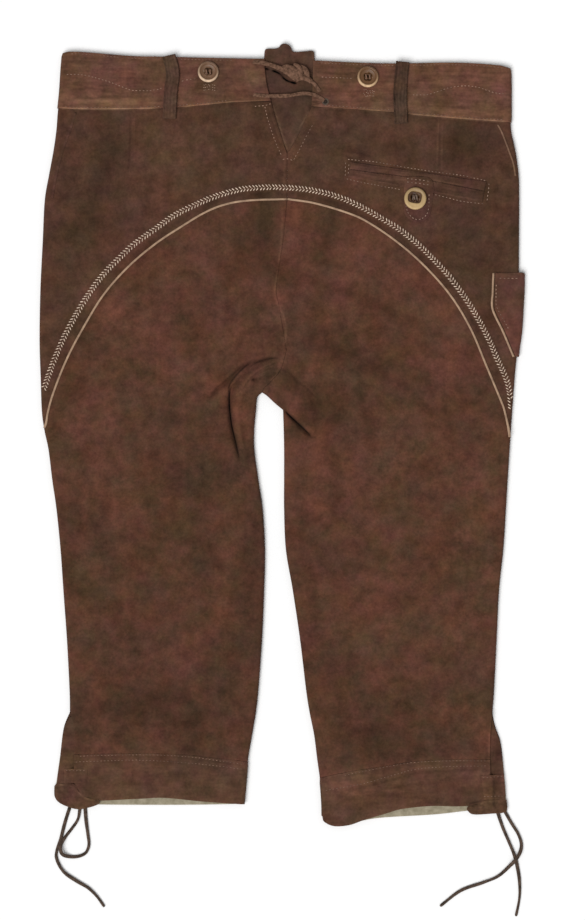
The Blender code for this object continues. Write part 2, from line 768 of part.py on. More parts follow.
def cord(name, points, width, finish):
    """A round lace through points in mm, with a point every two or three widths."""
    route = to_world(spaced(points, 2.3 * width))
    curve = bpy.data.curves.new(name, "CURVE")
    curve.dimensions = "3D"
    curve.bevel_depth = width / 2 * MM
    curve.bevel_resolution = 2
    curve.use_fill_caps = True
    spline = curve.splines.new("POLY")
    spline.points.add(len(route) - 1)
    for point, place in zip(spline.points, route):
        point.co = (*place, 1.0)
    piece = bpy.data.objects.new(name, curve)
    piece.data.materials.append(finish)
    bpy.context.scene.collection.objects.link(piece)
    return piece


# ---------------------------------------------------------------- the pieces


def front_panels(suede):
    """Each half of the front, trunk and leg in one, flat on the surface."""
    middle = smooth(CENTRE_FRONT, 40.0)
    middle = middle[middle[:, 1] > BAND_FOOT]
    middle = np.vstack([[(middle[0, 0], BAND_FOOT)], middle, [(280.0, 374)], [CROTCH[2]]])
    knee_left = np.array([UNDERLAP_LEFT[-1], (150, 756.5), fold_at(INNER_LEFT, 761.6)])
    knee_right = np.array([fold_at(INNER_RIGHT, 778.0), (398, 764), UNDERLAP_RIGHT[-1]])
    left = outline(
        [fold_at(OUTER_LEFT, BAND_FOOT)],
        middle,
        CROTCH_LEFT[::-1],
        between(INNER_LEFT, INNER_LEFT[0, 1], 761.6),
        knee_left[::-1],
        smooth(UNDERLAP_LEFT, 8.0)[::-1],
        between(OUTER_LEFT, BAND_FOOT, SLIT_TOP)[::-1],
    )
    right = outline(
        [fold_at(OUTER_RIGHT, BAND_FOOT)],
        between(OUTER_RIGHT, BAND_FOOT, SLIT_TOP),
        smooth(UNDERLAP_RIGHT, 8.0),
        knee_right[::-1],
        between(INNER_RIGHT, INNER_RIGHT[0, 1], 778.0)[::-1],
        CROTCH_RIGHT[::-1],
        middle[::-1],
    )
    wall("front_left", left, suede, front_form, -HIDE, 0.0, PLAIN_LATTICE, creased=False)
    wall("front_right", right, suede, front_form, -HIDE, 0.0, PLAIN_LATTICE, creased=False)


def front_bands(band):
    """The front waistband's halves and the front of each knee band, turned double."""
    top_left = [p for p in BAND_TOP_LEFT] + [(287.2, 60.5)]
    top_right = [(287.2, 60.5)] + [p for p in BAND_TOP_RIGHT[1:]]
    lowered = np.array([0.0, 1.2])
    waist_left = outline(
        smooth(top_left, 30.0) + lowered,
        [(287.2, BAND_FOOT), fold_at(OUTER_LEFT, BAND_FOOT)],
        between(OUTER_LEFT, 56.0, BAND_FOOT)[::-1],
    )
    waist_right = outline(
        smooth(top_right, 30.0) + lowered,
        between(OUTER_RIGHT, 71.0, BAND_FOOT),
        [fold_at(OUTER_RIGHT, BAND_FOOT), (287.2, BAND_FOOT)],
    )
    knee_left = outline(
        [UNDERLAP_LEFT[-1], (150, 756.5), fold_at(INNER_LEFT, 761.6)],
        between(INNER_LEFT, 761.6, 804.5),
        seam(HEM_FRONT_LEFT, INNER_LEFT, 20.0)[::-1],
        smooth(KNEE_END_FRONT_LEFT, 8.0)[::-1],
    )
    knee_right = outline(
        [fold_at(INNER_RIGHT, 778.0), (398, 764), UNDERLAP_RIGHT[-1]],
        smooth(KNEE_END_FRONT_RIGHT, 8.0),
        seam(HEM_FRONT_RIGHT, INNER_RIGHT, 6.0)[::-1],
        between(INNER_RIGHT, 778.0, 816.0)[::-1],
    )
    for name, loop in (
        ("waistband_front_left", waist_left),
        ("waistband_front_right", waist_right),
        ("knee_band_front_left", knee_left),
        ("knee_band_front_right", knee_right),
    ):
        wall(name, loop, band, front_form, -DOUBLE_HIDE, 0.0, PLAIN_LATTICE, creased=False)


def yokes(suede):
    """The back above the arched seam, left and right of the V and the centre seam."""
    waist_left = np.vstack([seam(WAIST_SEAM_LEFT, OUTER_LEFT), [V_LEFT[0]]])
    waist_right = np.vstack([[V_RIGHT[0]], seam(WAIST_SEAM_RIGHT, OUTER_RIGHT)])
    centre = spaced(CENTRE_BACK[:2], ALONG_SEAMS)
    left = outline(
        waist_left,
        smooth(V_LEFT, 10.0)[1:],
        centre,
        seam(ARCH_LEFT, OUTER_LEFT)[::-1],
        between(OUTER_LEFT, 108.3, 428.6)[::-1],
    )
    right = outline(
        waist_right,
        between(OUTER_RIGHT, 122.4, 437.4),
        seam(ARCH_RIGHT, OUTER_RIGHT)[::-1],
        centre[::-1],
        smooth(V_RIGHT, 10.0)[::-1][:-1],
    )
    wall("yoke_left", left, suede, back_form, -HIDE, 0.0)
    wall("yoke_right", right, suede, back_form, -HIDE, 0.0)


def seat_legs(suede):
    """The seat and leg below the arched seam, down to the knee band."""
    centre = np.vstack([smooth(CENTRE_BACK[1:], ALONG_SEAMS), smooth(CENTRE_CROTCH, 9.0)[1:]])
    left = outline(
        seam(ARCH_LEFT, OUTER_LEFT),
        centre,
        CROTCH_LEFT[::-1],
        between(INNER_LEFT, INNER_LEFT[0, 1], 761.6),
        seam(KNEE_SEAM_LEFT, INNER_LEFT)[::-1],
        smooth(SLIT_EDGE_LEFT, 9.0)[::-1],
        between(OUTER_LEFT, 428.6, SLIT_TOP)[::-1],
    )
    right = outline(
        seam(ARCH_RIGHT, OUTER_RIGHT),
        between(OUTER_RIGHT, 437.4, SLIT_TOP),
        smooth(SLIT_EDGE_RIGHT, 9.0),
        seam(KNEE_SEAM_RIGHT, INNER_RIGHT)[::-1],
        between(INNER_RIGHT, INNER_RIGHT[0, 1], 778.0)[::-1],
        CROTCH_RIGHT[::-1],
        centre[::-1],
    )
    wall("seat_leg_left", left, suede, back_form, -HIDE, 0.0)
    wall("seat_leg_right", right, suede, back_form, -HIDE, 0.0)


def back_bands(band):
    """The back waistband's halves, parted at the V, and the back of each knee band."""
    waist_left = outline(
        smooth(BAND_TOP_LEFT + (BAND_END_LEFT[0],), 18.0),
        smooth(BAND_END_LEFT, 12.0)[1:],
        seam(WAIST_SEAM_LEFT, OUTER_LEFT)[::-1],
        between(OUTER_LEFT, 56.0, 108.3)[::-1],
    )
    waist_right = outline(
        smooth(BAND_TOP_RIGHT, 18.0),
        between(OUTER_RIGHT, 71.5, 122.4),
        seam(WAIST_SEAM_RIGHT, OUTER_RIGHT)[::-1],
        smooth(BAND_END_RIGHT, 12.0)[::-1],
    )
    knee_left = outline(
        seam(KNEE_SEAM_LEFT, INNER_LEFT),
        between(INNER_LEFT, 761.6, 804.5),
        seam(HEM_BACK_LEFT, INNER_LEFT)[::-1],
        smooth(KNEE_END_LEFT, 12.0)[::-1],
    )
    knee_right = outline(
        seam(KNEE_SEAM_RIGHT, INNER_RIGHT),
        smooth(KNEE_END_RIGHT, 12.0),
        seam(HEM_BACK_RIGHT, INNER_RIGHT, 7.0)[::-1],
        between(INNER_RIGHT, 778.0, 816.0)[::-1],
    )
    for name, loop in (
        ("waistband_back_left", waist_left),
        ("waistband_back_right", waist_right),
        ("knee_band_back_left", knee_left),
        ("knee_band_back_right", knee_right),
    ):
        wall(name, loop, band, back_form, BAND_RISE - DOUBLE_HIDE, BAND_RISE)


def gusset(suede):
    """The V let in under the yoke and the bands, bunched into a ridge where its tab stands out."""
    ridge = smooth(GUSSET_RIDGE, 7.0)

    def rise(points):
        away, _, along, _ = nearest(points, ridge)
        return 3.2 * np.exp(-((away / 4.2) ** 2)) * ease(3.0 * (1.0 - along))

    def upper(points):
        return rise(points) - HIDE - DOUBLE_HIDE + BAND_RISE + 0.5

    def lower(points):
        return upper(points) - HIDE

    wall("back_gusset", np.array(GUSSET), suede, gusset_form, lower, upper, 9.0, [ridge], False)


def gusset_form(points, level):
    """The gusset lies level under the back."""
    return np.column_stack([points, LAID + level])


def belt_loops(dark):
    """A loop over each half of the waistband, sewn down below the band's seam."""
    for name, route, waist in (
        ("belt_loop_left", LOOP_LEFT, WAIST_SEAM_LEFT[2][1]),
        ("belt_loop_right", LOOP_RIGHT, WAIST_SEAM_RIGHT[2][1] + 1.2),
    ):
        top, foot = route[0][1], route[-1][1]

        def lower(points, top=top, foot=foot, waist=waist):
            down = points[:, 1]
            off_band = BAND_RISE * (1.0 - ease((down - waist - 0.6) / 5.0))
            bow = 0.9 * np.sin(np.pi * np.clip((down - top) / (foot - top), 0.0, 1.0))
            return SEAM + off_band + bow

        def upper(points, lower=lower):
            return lower(points) + DOUBLE_HIDE

        middle = smooth(route, 7.0)[1:-1]
        wall(name, strip(route, LOOP_WIDTH, 7.0), dark, back_form, lower, upper, 7.0, [middle], False)


def welt_pocket(suede, dark):
    """Two welts that meet at the pocket's mouth, and the button tab that comes out between them."""
    mouth = smooth(POCKET_MOUTH, 12.0)
    top_left, top_right, foot_right, foot_left = (np.array(p) for p in POCKET_FRAME)
    upper_welt = outline(spaced([top_left, top_right], 12.0), mouth[::-1])
    lower_welt = outline(mouth, spaced([foot_right, foot_left], 12.0))

    def rounded(points):
        away = nearest(points, mouth)[0]
        return SEAM + HIDE * (0.62 + 0.38 * np.cos(np.pi * np.clip(away / 10.0 - 0.35, -0.35, 0.65)))

    for name, loop, shift in (("pocket_welt_upper", upper_welt, -4.0), ("pocket_welt_lower", lower_welt, 5.0)):
        middle = mouth[1:-1] + np.array([-0.13 * shift, shift])
        wall(name, loop, suede, back_form, SEAM, rounded, 12.0, [middle], False)

    foot = np.array([foot_left, foot_right])

    def tab_lower(points):
        _, place, _, _ = nearest(points, foot)
        over = place[:, 1] - points[:, 1]
        return SEAM + (HIDE + SEAM) * ease((over + 4.5) / 3.0)

    def tab_upper(points):
        return tab_lower(points) + HIDE

    tab = smooth(POCKET_TAB + POCKET_TAB[:1], 4.5)[:-1]
    rows = [np.array([(402.0, 189.6), (433.0, 194.6)]) + [0.0, drop] for drop in (0.6, 4.2)]
    rows = [run for row in rows for run in crossing(row, tab)]
    wall("pocket_tab", tab, dark, back_form, tab_lower, tab_upper, 8.0, rows, False)


def side_pocket(suede, tan):
    """The flat pocket on the right thigh, and the piping round its edge."""
    edge = spaced(SIDE_POCKET_EDGE, 7.0)
    loop = outline(edge[::-1], smooth(SIDE_POCKET_LIP, 9.0))
    lip = smooth(SIDE_POCKET_LIP, 9.0)[1:-1]
    rows = [lip - [by, 0.0] for by in (0.95, 2.4, 5.6)]
    rows = [run for row in rows for run in crossing(row, loop)]
    wall("side_pocket", loop, suede, side_pocket_form, SEAM, SEAM + HIDE, 12.0, rows, False)
    line = np.array(SIDE_POCKET_EDGE) - [1.9, -0.4]
    piped("side_pocket_piping", line, tan)


def piped(name, route, finish):
    """A turned strip of light leather with a round back, lying on the panels."""
    middle = smooth(route, 10.0)

    def upper(points):
        across = nearest(points, middle)[0] / (PIPING_WIDTH / 2)
        return SEAM + PIPING_RISE * (0.45 + 0.55 * np.sqrt(np.maximum(1.0 - across**2, 0.0)))

    loop = strip(route, PIPING_WIDTH, 10.0)
    wall(name, loop, finish, back_form, SEAM, upper, 30.0, [middle[1:-1]], False)


def pipings(tan, suede):
    """Light piping on the arched seam, and the turned edges of the hip pockets."""
    left = [fold_at(OUTER_LEFT, 427.6) if p[0] is None else p for p in ARCH_LEFT]
    right = list(ARCH_RIGHT[1:-3])
    piped("seat_piping_left", [(left[0][0] + 1.9, left[0][1])] + left[1:-1] + [(286.9, 199.0)], tan)
    piped("seat_piping_right", [(287.5, 199.0)] + right + [(508.3, 431.0)], tan)
    piped("hip_piping_left", HIP_PIPING_LEFT, suede)
    piped("hip_piping_right", HIP_PIPING_RIGHT, suede)


def knee_slits(suede, dark):
    """What shows at each knee's open slit: the underlay, the lace tab and the end of the casing."""
    for name, loop in (("slit_underlay_left", SLIT_LEFT), ("slit_underlay_right", SLIT_RIGHT)):
        wall(name, spaced(loop + loop[:1], 9.0)[:-1], dark, underlay_form, 0.0, UNDERLAY, 20.0, (), False)
    for name, loop, knee_end, side in (
        ("lace_tab_left", LACE_TAB_LEFT, 74.0, -1.0),
        ("lace_tab_right", LACE_TAB_RIGHT, 490.5, 1.0),
        ("lace_casing_left", CASING_LEFT, 75.4, -1.0),
        ("lace_casing_right", CASING_RIGHT, 490.4, 1.0),
    ):
        hem = seam(HEM_BACK_LEFT, INNER_LEFT) if side < 0 else seam(HEM_BACK_RIGHT, INNER_RIGHT, 7.0)
        casing = "casing" in name
        loop = smooth(loop + loop[:1], 5.0)[:-1] if casing else spaced(loop + loop[:1], 5.0)[:-1]

        def draped(points, level, knee_end=knee_end, side=side, hem=hem, casing=casing):
            past_end = (points[:, 0] - knee_end) * side
            past_hem = points[:, 1] - np.interp(points[:, 0], hem[:, 0], hem[:, 1])
            past = np.maximum(past_end, past_hem)
            high = back_height(points) + BAND_RISE + SEAM
            low = 4.0 if casing else UNDERLAY_TOP + SEAM
            z = high + (low - high) * ease((past - DRAPE_FROM) / (DRAPE_TO - DRAPE_FROM))
            return np.column_stack([points, z + level])

        rows = []
        for past in (DRAPE_FROM, (DRAPE_FROM + DRAPE_TO) / 2, DRAPE_TO):
            end = knee_end + side * past
            corner = np.interp(end, hem[:, 0], hem[:, 1]) + past
            foot = hem[(hem[:, 0] - end) * side < -1.0] + [0.0, past]
            foot = foot if side < 0 else foot[::-1]
            rows += crossing(spaced([(end, 750.0), (end, corner)], 4.0), loop)
            rows += crossing(spaced(np.vstack([[(end, corner)], foot]), 4.0), loop)
        wall(name, loop, dark if casing else suede, draped, 0.0, HIDE, 4.0, rows, False)


def underlay_form(points, level):
    """The underlay lies on the inside of the front."""
    return np.column_stack([points, np.full(len(points), DOUBLE_HIDE + SEAM) + level])


def buttons(horn):
    """Turned horn buttons with a raised rim, a dished middle and four holes."""
    angles = np.linspace(0.0, 2 * math.pi, BUTTON_SIDES, endpoint=False)
    for name, right, down, level, width in BUTTONS:
        radius = width / 2
        place = back_form(np.array([[right, down]]), np.array([level + SEAM]))
        centre = to_world(place)[0]
        made = bmesh.new()
        rings = []
        for out, up in BUTTON_PROFILE:
            spots = [(out * math.cos(a), out * math.sin(a), up) for a in angles]
            rings.append([made.verts.new([c * radius * MM for c in spot]) for spot in spots])
        for low, high in zip(rings, rings[1:]):
            for k in range(BUTTON_SIDES):
                n = (k + 1) % BUTTON_SIDES
                made.faces.new([low[k], low[n], high[n], high[k]])
        made.faces.new(rings[0])
        made.faces.new(rings[-1])
        bmesh.ops.recalc_face_normals(made, faces=made.faces)
        mesh = bpy.data.meshes.new(name)
        made.to_mesh(mesh)
        made.free()
        button = add_object(name, mesh, horn)
        button.location = centre
        drill(button)


def drill(button):
    """Cut the four thread holes through a button."""
    made = bmesh.new()
    for across in (-1, 1):
        for along in (-1, 1):
            spot = bmesh.ops.create_cone(
                made,
                cap_ends=True,
                segments=8,
                radius1=BUTTON_HOLE * MM,
                radius2=BUTTON_HOLE * MM,
                depth=10 * MM,
            )
            shift = (across * BUTTON_HOLE_SPREAD * MM, along * BUTTON_HOLE_SPREAD * MM, 0.0)
            bmesh.ops.translate(made, verts=spot["verts"], vec=shift)
    mesh = bpy.data.meshes.new(button.name + "_holes")
    made.to_mesh(mesh)
    made.free()
    cutter = bpy.data.objects.new(button.name + "_holes", mesh)
    cutter.location = button.location
    cutter.hide_render = True
    cutter.display_type = "WIRE"
    bpy.context.scene.collection.objects.link(cutter)
    cut = button.modifiers.new("thread_holes", "BOOLEAN")
    cut.operation = "DIFFERENCE"
    cut.solver = "EXACT"
    cut.object = cutter


def knee_laces(brown):
    """The laces' free ends, lying on the surface, one over another where they cross."""
    rest = CORD_WIDTH / 2 + 0.1
    for name, route in (
        ("knee_lace_left_tail", LACE_LEFT_TAIL),
        ("knee_lace_left_loop", LACE_LEFT_LOOP),
        ("knee_lace_right_inner", LACE_RIGHT_INNER),
        ("knee_lace_right_outer", LACE_RIGHT_OUTER),
    ):
        line = smooth(route, 2.0)
        height = np.full(len(line), rest)
        for right, down, half in LACE_HUMPS.get(name, ()):
            away = np.hypot(line[:, 0] - right, line[:, 1] - down)
            height += (CORD_WIDTH + 0.4) * ease(1.25 * (1.0 - away / half))
        cord(name, np.column_stack([line, height]), CORD_WIDTH, brown)


def back_laces(brown):
    """The lace tied across the top of the V, its knot, and the lace across the V's foot."""
    for name, route in (
        ("back_lace_upper_left", TIE_UPPER_LEFT),
        ("back_lace_upper_right", TIE_UPPER_RIGHT),
        ("back_lace_lower", TIE_LOWER),
    ):
        line = smooth(route, 2.0)
        cord(name, line + [0.0, 0.0, BAND_TOP], TIE_WIDTH, brown)
    made = bmesh.new()
    bmesh.ops.create_uvsphere(made, u_segments=16, v_segments=9, radius=0.5 * MM)
    bmesh.ops.scale(made, vec=TIE_KNOT_SIZE, verts=made.verts)
    mesh = bpy.data.meshes.new("back_lace_knot")
    made.to_mesh(mesh)
    made.free()
    knot = add_object("back_lace_knot", mesh, brown)
    top = BAND_TOP + TIE_KNOT_SIZE[2] / 2 - KNOT_SUNK
    knot.location = to_world(np.array([[*TIE_KNOT, top]]))[0]


def build():
    for left_over in list(bpy.data.objects):
        bpy.data.objects.remove(left_over, do_unlink=True)
    suede = material("suede", SUEDE)
    band = material("suede_band", SUEDE_BAND)
    dark = material("suede_dark", SUEDE_DARK)
    tan = material("piping_leather", PIPING_TAN, 0.7)
    brown = material("lace_leather", LACE_BROWN, 0.7)
    horn = material("horn", HORN, 0.35)
    front_panels(suede)
    front_bands(band)
    yokes(suede)
    seat_legs(suede)
    back_bands(band)
    gusset(dark)
    belt_loops(dark)
    welt_pocket(suede, dark)
    side_pocket(suede, tan)
    pipings(tan, suede)
    knee_slits(suede, dark)
    buttons(horn)
    knee_laces(brown)
    back_laces(brown)


build()
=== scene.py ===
"""The looks of knee-length suede lederhosen, laid flat with the back side up.

Every leather piece is a thin shell of hide in the place of its CAD solid: its cut outline is filled
with close points and lifted on to the laid form, with softly rolled edges at the seams, creases, small
puckers, rubbed places, and painted shade and highlight. Stitches, embroidery, laces, knot and buttons are
modelled on top.

Plan sizes are millimetres on a laying-out board, given as (right, down) from its top left corner. The
frame's origin is the middle of the garment on the surface that it lies on, +X its right side as it
lies, +Y its waist and +Z its upper face.
"""

import math

import bmesh
import bpy
import numpy as np
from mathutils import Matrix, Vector
from mathutils.bvhtree import BVHTree
from mathutils.geometry import delaunay_2d_cdt
from mathutils.kdtree import KDTree


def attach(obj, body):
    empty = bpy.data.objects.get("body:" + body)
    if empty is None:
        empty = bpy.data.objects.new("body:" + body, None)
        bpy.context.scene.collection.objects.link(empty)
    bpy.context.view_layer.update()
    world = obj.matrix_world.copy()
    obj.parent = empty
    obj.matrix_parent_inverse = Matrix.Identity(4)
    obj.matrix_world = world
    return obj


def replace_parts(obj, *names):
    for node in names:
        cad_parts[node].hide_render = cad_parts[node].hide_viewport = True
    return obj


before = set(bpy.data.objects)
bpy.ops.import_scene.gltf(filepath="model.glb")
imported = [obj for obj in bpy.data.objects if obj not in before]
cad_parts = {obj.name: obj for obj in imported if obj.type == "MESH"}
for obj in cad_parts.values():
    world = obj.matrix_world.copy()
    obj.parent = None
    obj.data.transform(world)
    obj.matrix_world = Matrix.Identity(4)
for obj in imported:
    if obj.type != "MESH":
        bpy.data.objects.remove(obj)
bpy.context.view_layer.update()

MM = 0.001
BOARD_MIDDLE = (282.26, 434.81)

# Driving sizes, mm
HIDE = 1.6  # body leather
DOUBLE_HIDE = 2.4  # turned and glued leather of the bands
SEAM = 0.3  # between pieces
LAID = 7.0  # height of both layers at their folds
FOLD_RADIUS = LAID / 2
SETTLED = 0.9  # how far the middle of a panel lies below its folds
SETTLED_FROM = (6.0, 26.0)
LEAST_HEIGHT = 2 * HIDE + SEAM + 0.1
BAND_RISE = 0.9  # a band stands this far out of the panel beside it
BAND_TOP = LAID - SETTLED + BAND_RISE
UNDERLAY = 1.3
UNDERLAY_TOP = DOUBLE_HIDE + SEAM + UNDERLAY
THIN_HIDE = 1.1  # lace tabs and casings
CASING_LOW = 4.0  # height of a casing's part that hangs over the hem
DRAPE_FROM = 1.2
DRAPE_TO = 5.2
CORD_WIDTH = 3.6
TIE_WIDTH = 4.4
LOOP_WIDTH = 13.5
LOOP_RIB = 3.4  # from one rib of a belt loop to the next
PIPING_WIDTH = 2.1
PIPING_RISE = 1.0

# Spacing of points, mm
FINE = 3.4
PLAIN = 14.0
ALONG = 3.6
OVER_FOLD = 0.9
SEAM_TURN = 7.0
RING_ANGLES = (22, 38, 54, 70, 90)  # rows of points round a fold, in degrees from its edge
EDGE_RINGS = (0.35, 0.8, 1.5)  # rows of points inside a cut edge
LEAST_APART = 0.3
LEAST_RUN = 0.8  # from a fold's own points to the ends of a stretch of it
LEAST_CORNER = 0.35  # bounds how far the sharp corners of an inset outline move
LEAST_BEND = 0.6  # and the sharp bends of a line beside another
CROSSING_STEP = 0.35  # between the places where a row is tested against an outline
LEAST_STRETCH = 0.9  # of a row inside an outline
PIPED_STEP = 1.8  # along piping
SEWN_STEP = 2.4  # along rubbed edges and rows of sewing
ROLL = 0.7  # radius that a sewn edge rolls over
PARTED = 0.06  # half the gap that shows between two sewn pieces
BLOCK = 2500  # points measured at a time
STRAND_SIDES = 12
THREAD_SIDES = 8
SHARP_HIDE = 62  # degrees between faces from which an edge shows sharp
SHARP_STRAND = 70
SHARP_HORN = 50
ON_HIDE = 0.5  # a stitch is made where the hide stands at least this high

# Levels, mm down the board
SLIT_TOP = 712.0
BAND_FOOT = 110.0
BAND_FOLD_LEFT = 56.0  # where the waistband's top turns over the folds
BAND_FOLD_RIGHT_FRONT = 71.0
BAND_FOLD_RIGHT_BACK = 71.5

# Sections of the laid garment, from the waist down: where the side folds and inner leg folds lie.
# down, outer left, inner left, inner right, outer right
SECTIONS = (
    (50, 62.6, None, None, 509.6), (68, 61, None, None, 510.8), (90, 59.6, None, None, 511.2),
    (112, 57.4, None, None, 511.2), (130, 56, None, None, 511.4), (150, 53.2, None, None, 515.6),
    (175, 48.6, None, None, 519), (200, 44.4, None, None, 519.5), (240, 42.4, None, None, 519.3),
    (290, 40, None, None, 519), (340, 39.2, None, None, 518.2), (375, 40.2, None, None, 515.2),
    (410, 41.4, 256, 283, 512.6), (430, 44, 254.2, 283.6, 511.2), (450, 48.2, 254.4, 284, 509.9),
    (480, 51.9, 258.4, 284, 508), (510, 56.2, 262.8, 284, 506.2), (550, 60.2, 265, 285.8, 503.6),
    (590, 63, 264.2, 292.6, 499.4), (640, 66.6, 262, 300, 496.9), (690, 69.2, 258.4, 306, 494.4),
    (712, 69.6, 256, 309.4, 492.8), (735, None, 252.2, 314, None), (760, None, 248, 317.2, None),
    (785, None, 245.6, 320.6, None), (804.5, None, 243.9, 322, None), (816, None, None, 322.2, None),
)
CROTCH = ((256.5, 403.0), (257.8, 396.6), (262.0, 392.6), (266.6, 395.6), (275.0, 403.4))

# Seams and edges, left to right or top to bottom. A None takes its place from the fold it meets.
BAND_TOP_LEFT = ((63.2, 53.0), (70, 51.6), (90, 52.4), (131, 55.8), (165, 56.6), (240, 58.3))
BAND_TOP_RIGHT = ((313, 60.2), (357, 62.4), (396, 63.3), (455, 62.5), (496, 64.9), (509.8, 68.2))
WAIST_SEAM_LEFT = ((None, 108.3), (92, 109.4), (160, 108.4), (195, 105.8), (230, 102.3))
WAIST_SEAM_RIGHT = ((320, 106.8), (355, 109.2), (392, 112), (411, 114.5), (460, 118.6), (None, 122.4))
BAND_END_LEFT = ((264.6, 58.5), (265.4, 74), (267.6, 88), (271, 100.8))
BAND_END_RIGHT = ((313.0, 60.2), (312.6, 84), (311.4, 106.4))
V_LEFT = ((271, 100.8), (276, 119.6), (285.0, 147.5), (287.2, 153))
V_RIGHT = ((311.4, 106.4), (304.5, 122), (296, 139), (290, 149.5), (287.2, 153))
CENTRE_BACK = ((287.2, 153), (287.2, 199.0), (283.2, 240), (276.5, 287), (279, 305), (286.5, 350))
CENTRE_CROTCH = ((286.5, 350), (281, 369), (271, 381.4), (264.2, 388.0), (262.0, 392.6))
ARCH_LEFT = (
    (None, 428.6), (46.4, 422.4), (48.2, 411), (54.2, 390.5), (67.7, 357), (84.8, 325), (103.8, 294.4),
    (127.9, 267.1), (155.3, 243.9), (180, 227.4), (205.3, 212.2), (227.1, 203.8), (251, 200.2), (287.2, 199),
)
ARCH_RIGHT = (
    (287.2, 199), (315, 203.2), (349.6, 213.5), (371.5, 224.2), (401.4, 245.2), (428.4, 269.8), (452.2, 297.8),
    (471, 329.4), (485.3, 363), (499.2, 396.4), (503.6, 407.6), (506.2, 418), (507.7, 428), (508.2, 434),
    (None, 437.4),
)
CENTRE_FRONT = ((287.2, 60), (287.2, 200), (287.2, 345))
SLIT_EDGE_LEFT = ((69.6, 712), (72.6, 722), (74, 734), (74, 754.6))
SLIT_EDGE_RIGHT = ((492.8, 712), (491.4, 724), (490.4, 738), (490.4, 759.4))
UNDERLAP_LEFT = ((69.6, 712), (64.4, 724), (62, 735), (59.6, 756))
UNDERLAP_RIGHT = ((492.8, 712), (495.4, 726), (501, 742), (503.2, 759))
KNEE_SEAM_LEFT = ((74, 754.6), (110, 753.8), (150, 753.4), (186, 755), (214, 758), (None, 761.6))
KNEE_SEAM_RIGHT = ((None, 778), (345, 772.6), (398, 764), (420, 761.2), (452, 759.6), (490.4, 759.4))
KNEE_END_LEFT = ((74, 754.6), (74, 776), (76, 799.6))
KNEE_END_RIGHT = ((490.4, 759.4), (490.6, 780), (490.2, 804.4))
HEM_BACK_LEFT = ((76, 799.6), (100, 800.8), (141.6, 798.8), (165, 798), (205, 802), (None, 804.5))
HEM_BACK_RIGHT = (
    (None, 816), (323.6, 821.2), (330, 825.2), (338, 826.5), (350.6, 825), (364, 820.2), (386, 813.7),
    (401.6, 809.2), (430, 806.2), (460, 806.4), (490.2, 804.4),
)
KNEE_END_FRONT_LEFT = ((59.6, 756), (56.8, 776), (55.4, 788), (58, 799), (66, 804.6))
KNEE_END_FRONT_RIGHT = ((503.2, 759), (505.2, 780), (506.6, 800), (505.6, 808.6))
HEM_FRONT_LEFT = ((66, 804.6), (110, 805.4), (170, 805.6), (215, 805.2), (None, 804.5))
HEM_FRONT_RIGHT = (
    (None, 816), (323.8, 820.6), (330, 824.6), (338, 826), (352, 824), (379, 818.7), (433.5, 815.3),
    (467, 811.6), (490, 809.4), (505.6, 808.6),
)

# Levels at which seams and hems meet the folds
ARCH_END_LEFT, ARCH_END_RIGHT = ARCH_LEFT[0][1], ARCH_RIGHT[-1][1]
WAIST_END_LEFT, WAIST_END_RIGHT = WAIST_SEAM_LEFT[0][1], WAIST_SEAM_RIGHT[-1][1]
KNEE_TOP_LEFT, KNEE_TOP_RIGHT = KNEE_SEAM_LEFT[-1][1], KNEE_SEAM_RIGHT[0][1]
HEM_END_LEFT, HEM_END_RIGHT = HEM_BACK_LEFT[-1][1], HEM_BACK_RIGHT[0][1]

# Creases of the back: a soft trough along a route, with painted shade in it, and a ridge beside it where the
# hide rolls, with a painted highlight.
# depth, half width, ridge rise, ridge side (1 is right of the route), ridge width, route
CREASES = (
    (2.7, 2.4, 2.6, -1, 7, ((270, 364), (252, 368), (238, 382), (230.6, 400), (231, 424), (241, 467))),
    (2.3, 2.4, 1.6, -1, 6, ((283, 355), (264, 359.7), (244, 365), (230, 379), (216, 391), (205, 403))),
    (2.4, 5.5, 1.6, 1, 9, ((283, 362), (288, 373), (298, 385), (309, 397), (316, 414))),
    (2.7, 2, 2.2, -1, 6, ((279, 406), (293, 419), (304, 431), (314, 437.5))),
    (1.9, 8, 1, 1, 14, ((303, 342), (326, 346), (350, 353), (372, 362), (398, 378))),
    (1.2, 5, 0.6, 1, 10, ((287, 280), (312, 277), (350, 291.5), (390, 309), (438, 335))),
    (1.3, 4, 0.6, 1, 7, ((353, 388), (362, 404), (370, 428))),
    (1.5, 6, 0.7, -1, 10, ((196, 523), (212, 552), (230, 570))),
    (1.3, 7, 0.5, 1, 12, ((326, 436), (338, 470), (334, 522))),
    (1.2, 6, 0.5, -1, 10, ((309, 556), (314, 604), (318, 652))),
    (1.2, 4, 0.6, -1, 8, ((336, 144), (352, 149), (374, 157))),
    (1, 4.5, 0.5, 1, 8, ((106, 190), (136, 182), (162, 172))),
    (1, 3, 0.5, 1, 6, ((358, 800), (381, 794), (407, 796))),
)

# Broad swells and hollows of the back.
# right, down, half length, half width, turn in degrees, rise
SWELLS = (
    (150, 300, 75, 55, 35, 1.3), (405, 305, 75, 55, -35, 1.3), (318, 325, 34, 24, 25, 2),
    (232, 342, 34, 18, -25, 2), (262, 326, 22, 9, 0, -1.6), (259, 231, 11, 20, 0, -1.5),
    (150, 470, 60, 90, 0, 1.2), (400, 490, 60, 100, 0, 1.2), (186, 712, 62, 16, 4, -1.3),
    (350, 712, 34, 22, 20, -1.3), (76, 190, 14, 50, 8, -1.3), (214, 600, 16, 70, 0, -0.9),
    (470, 215, 26, 34, 0, -0.9),
)

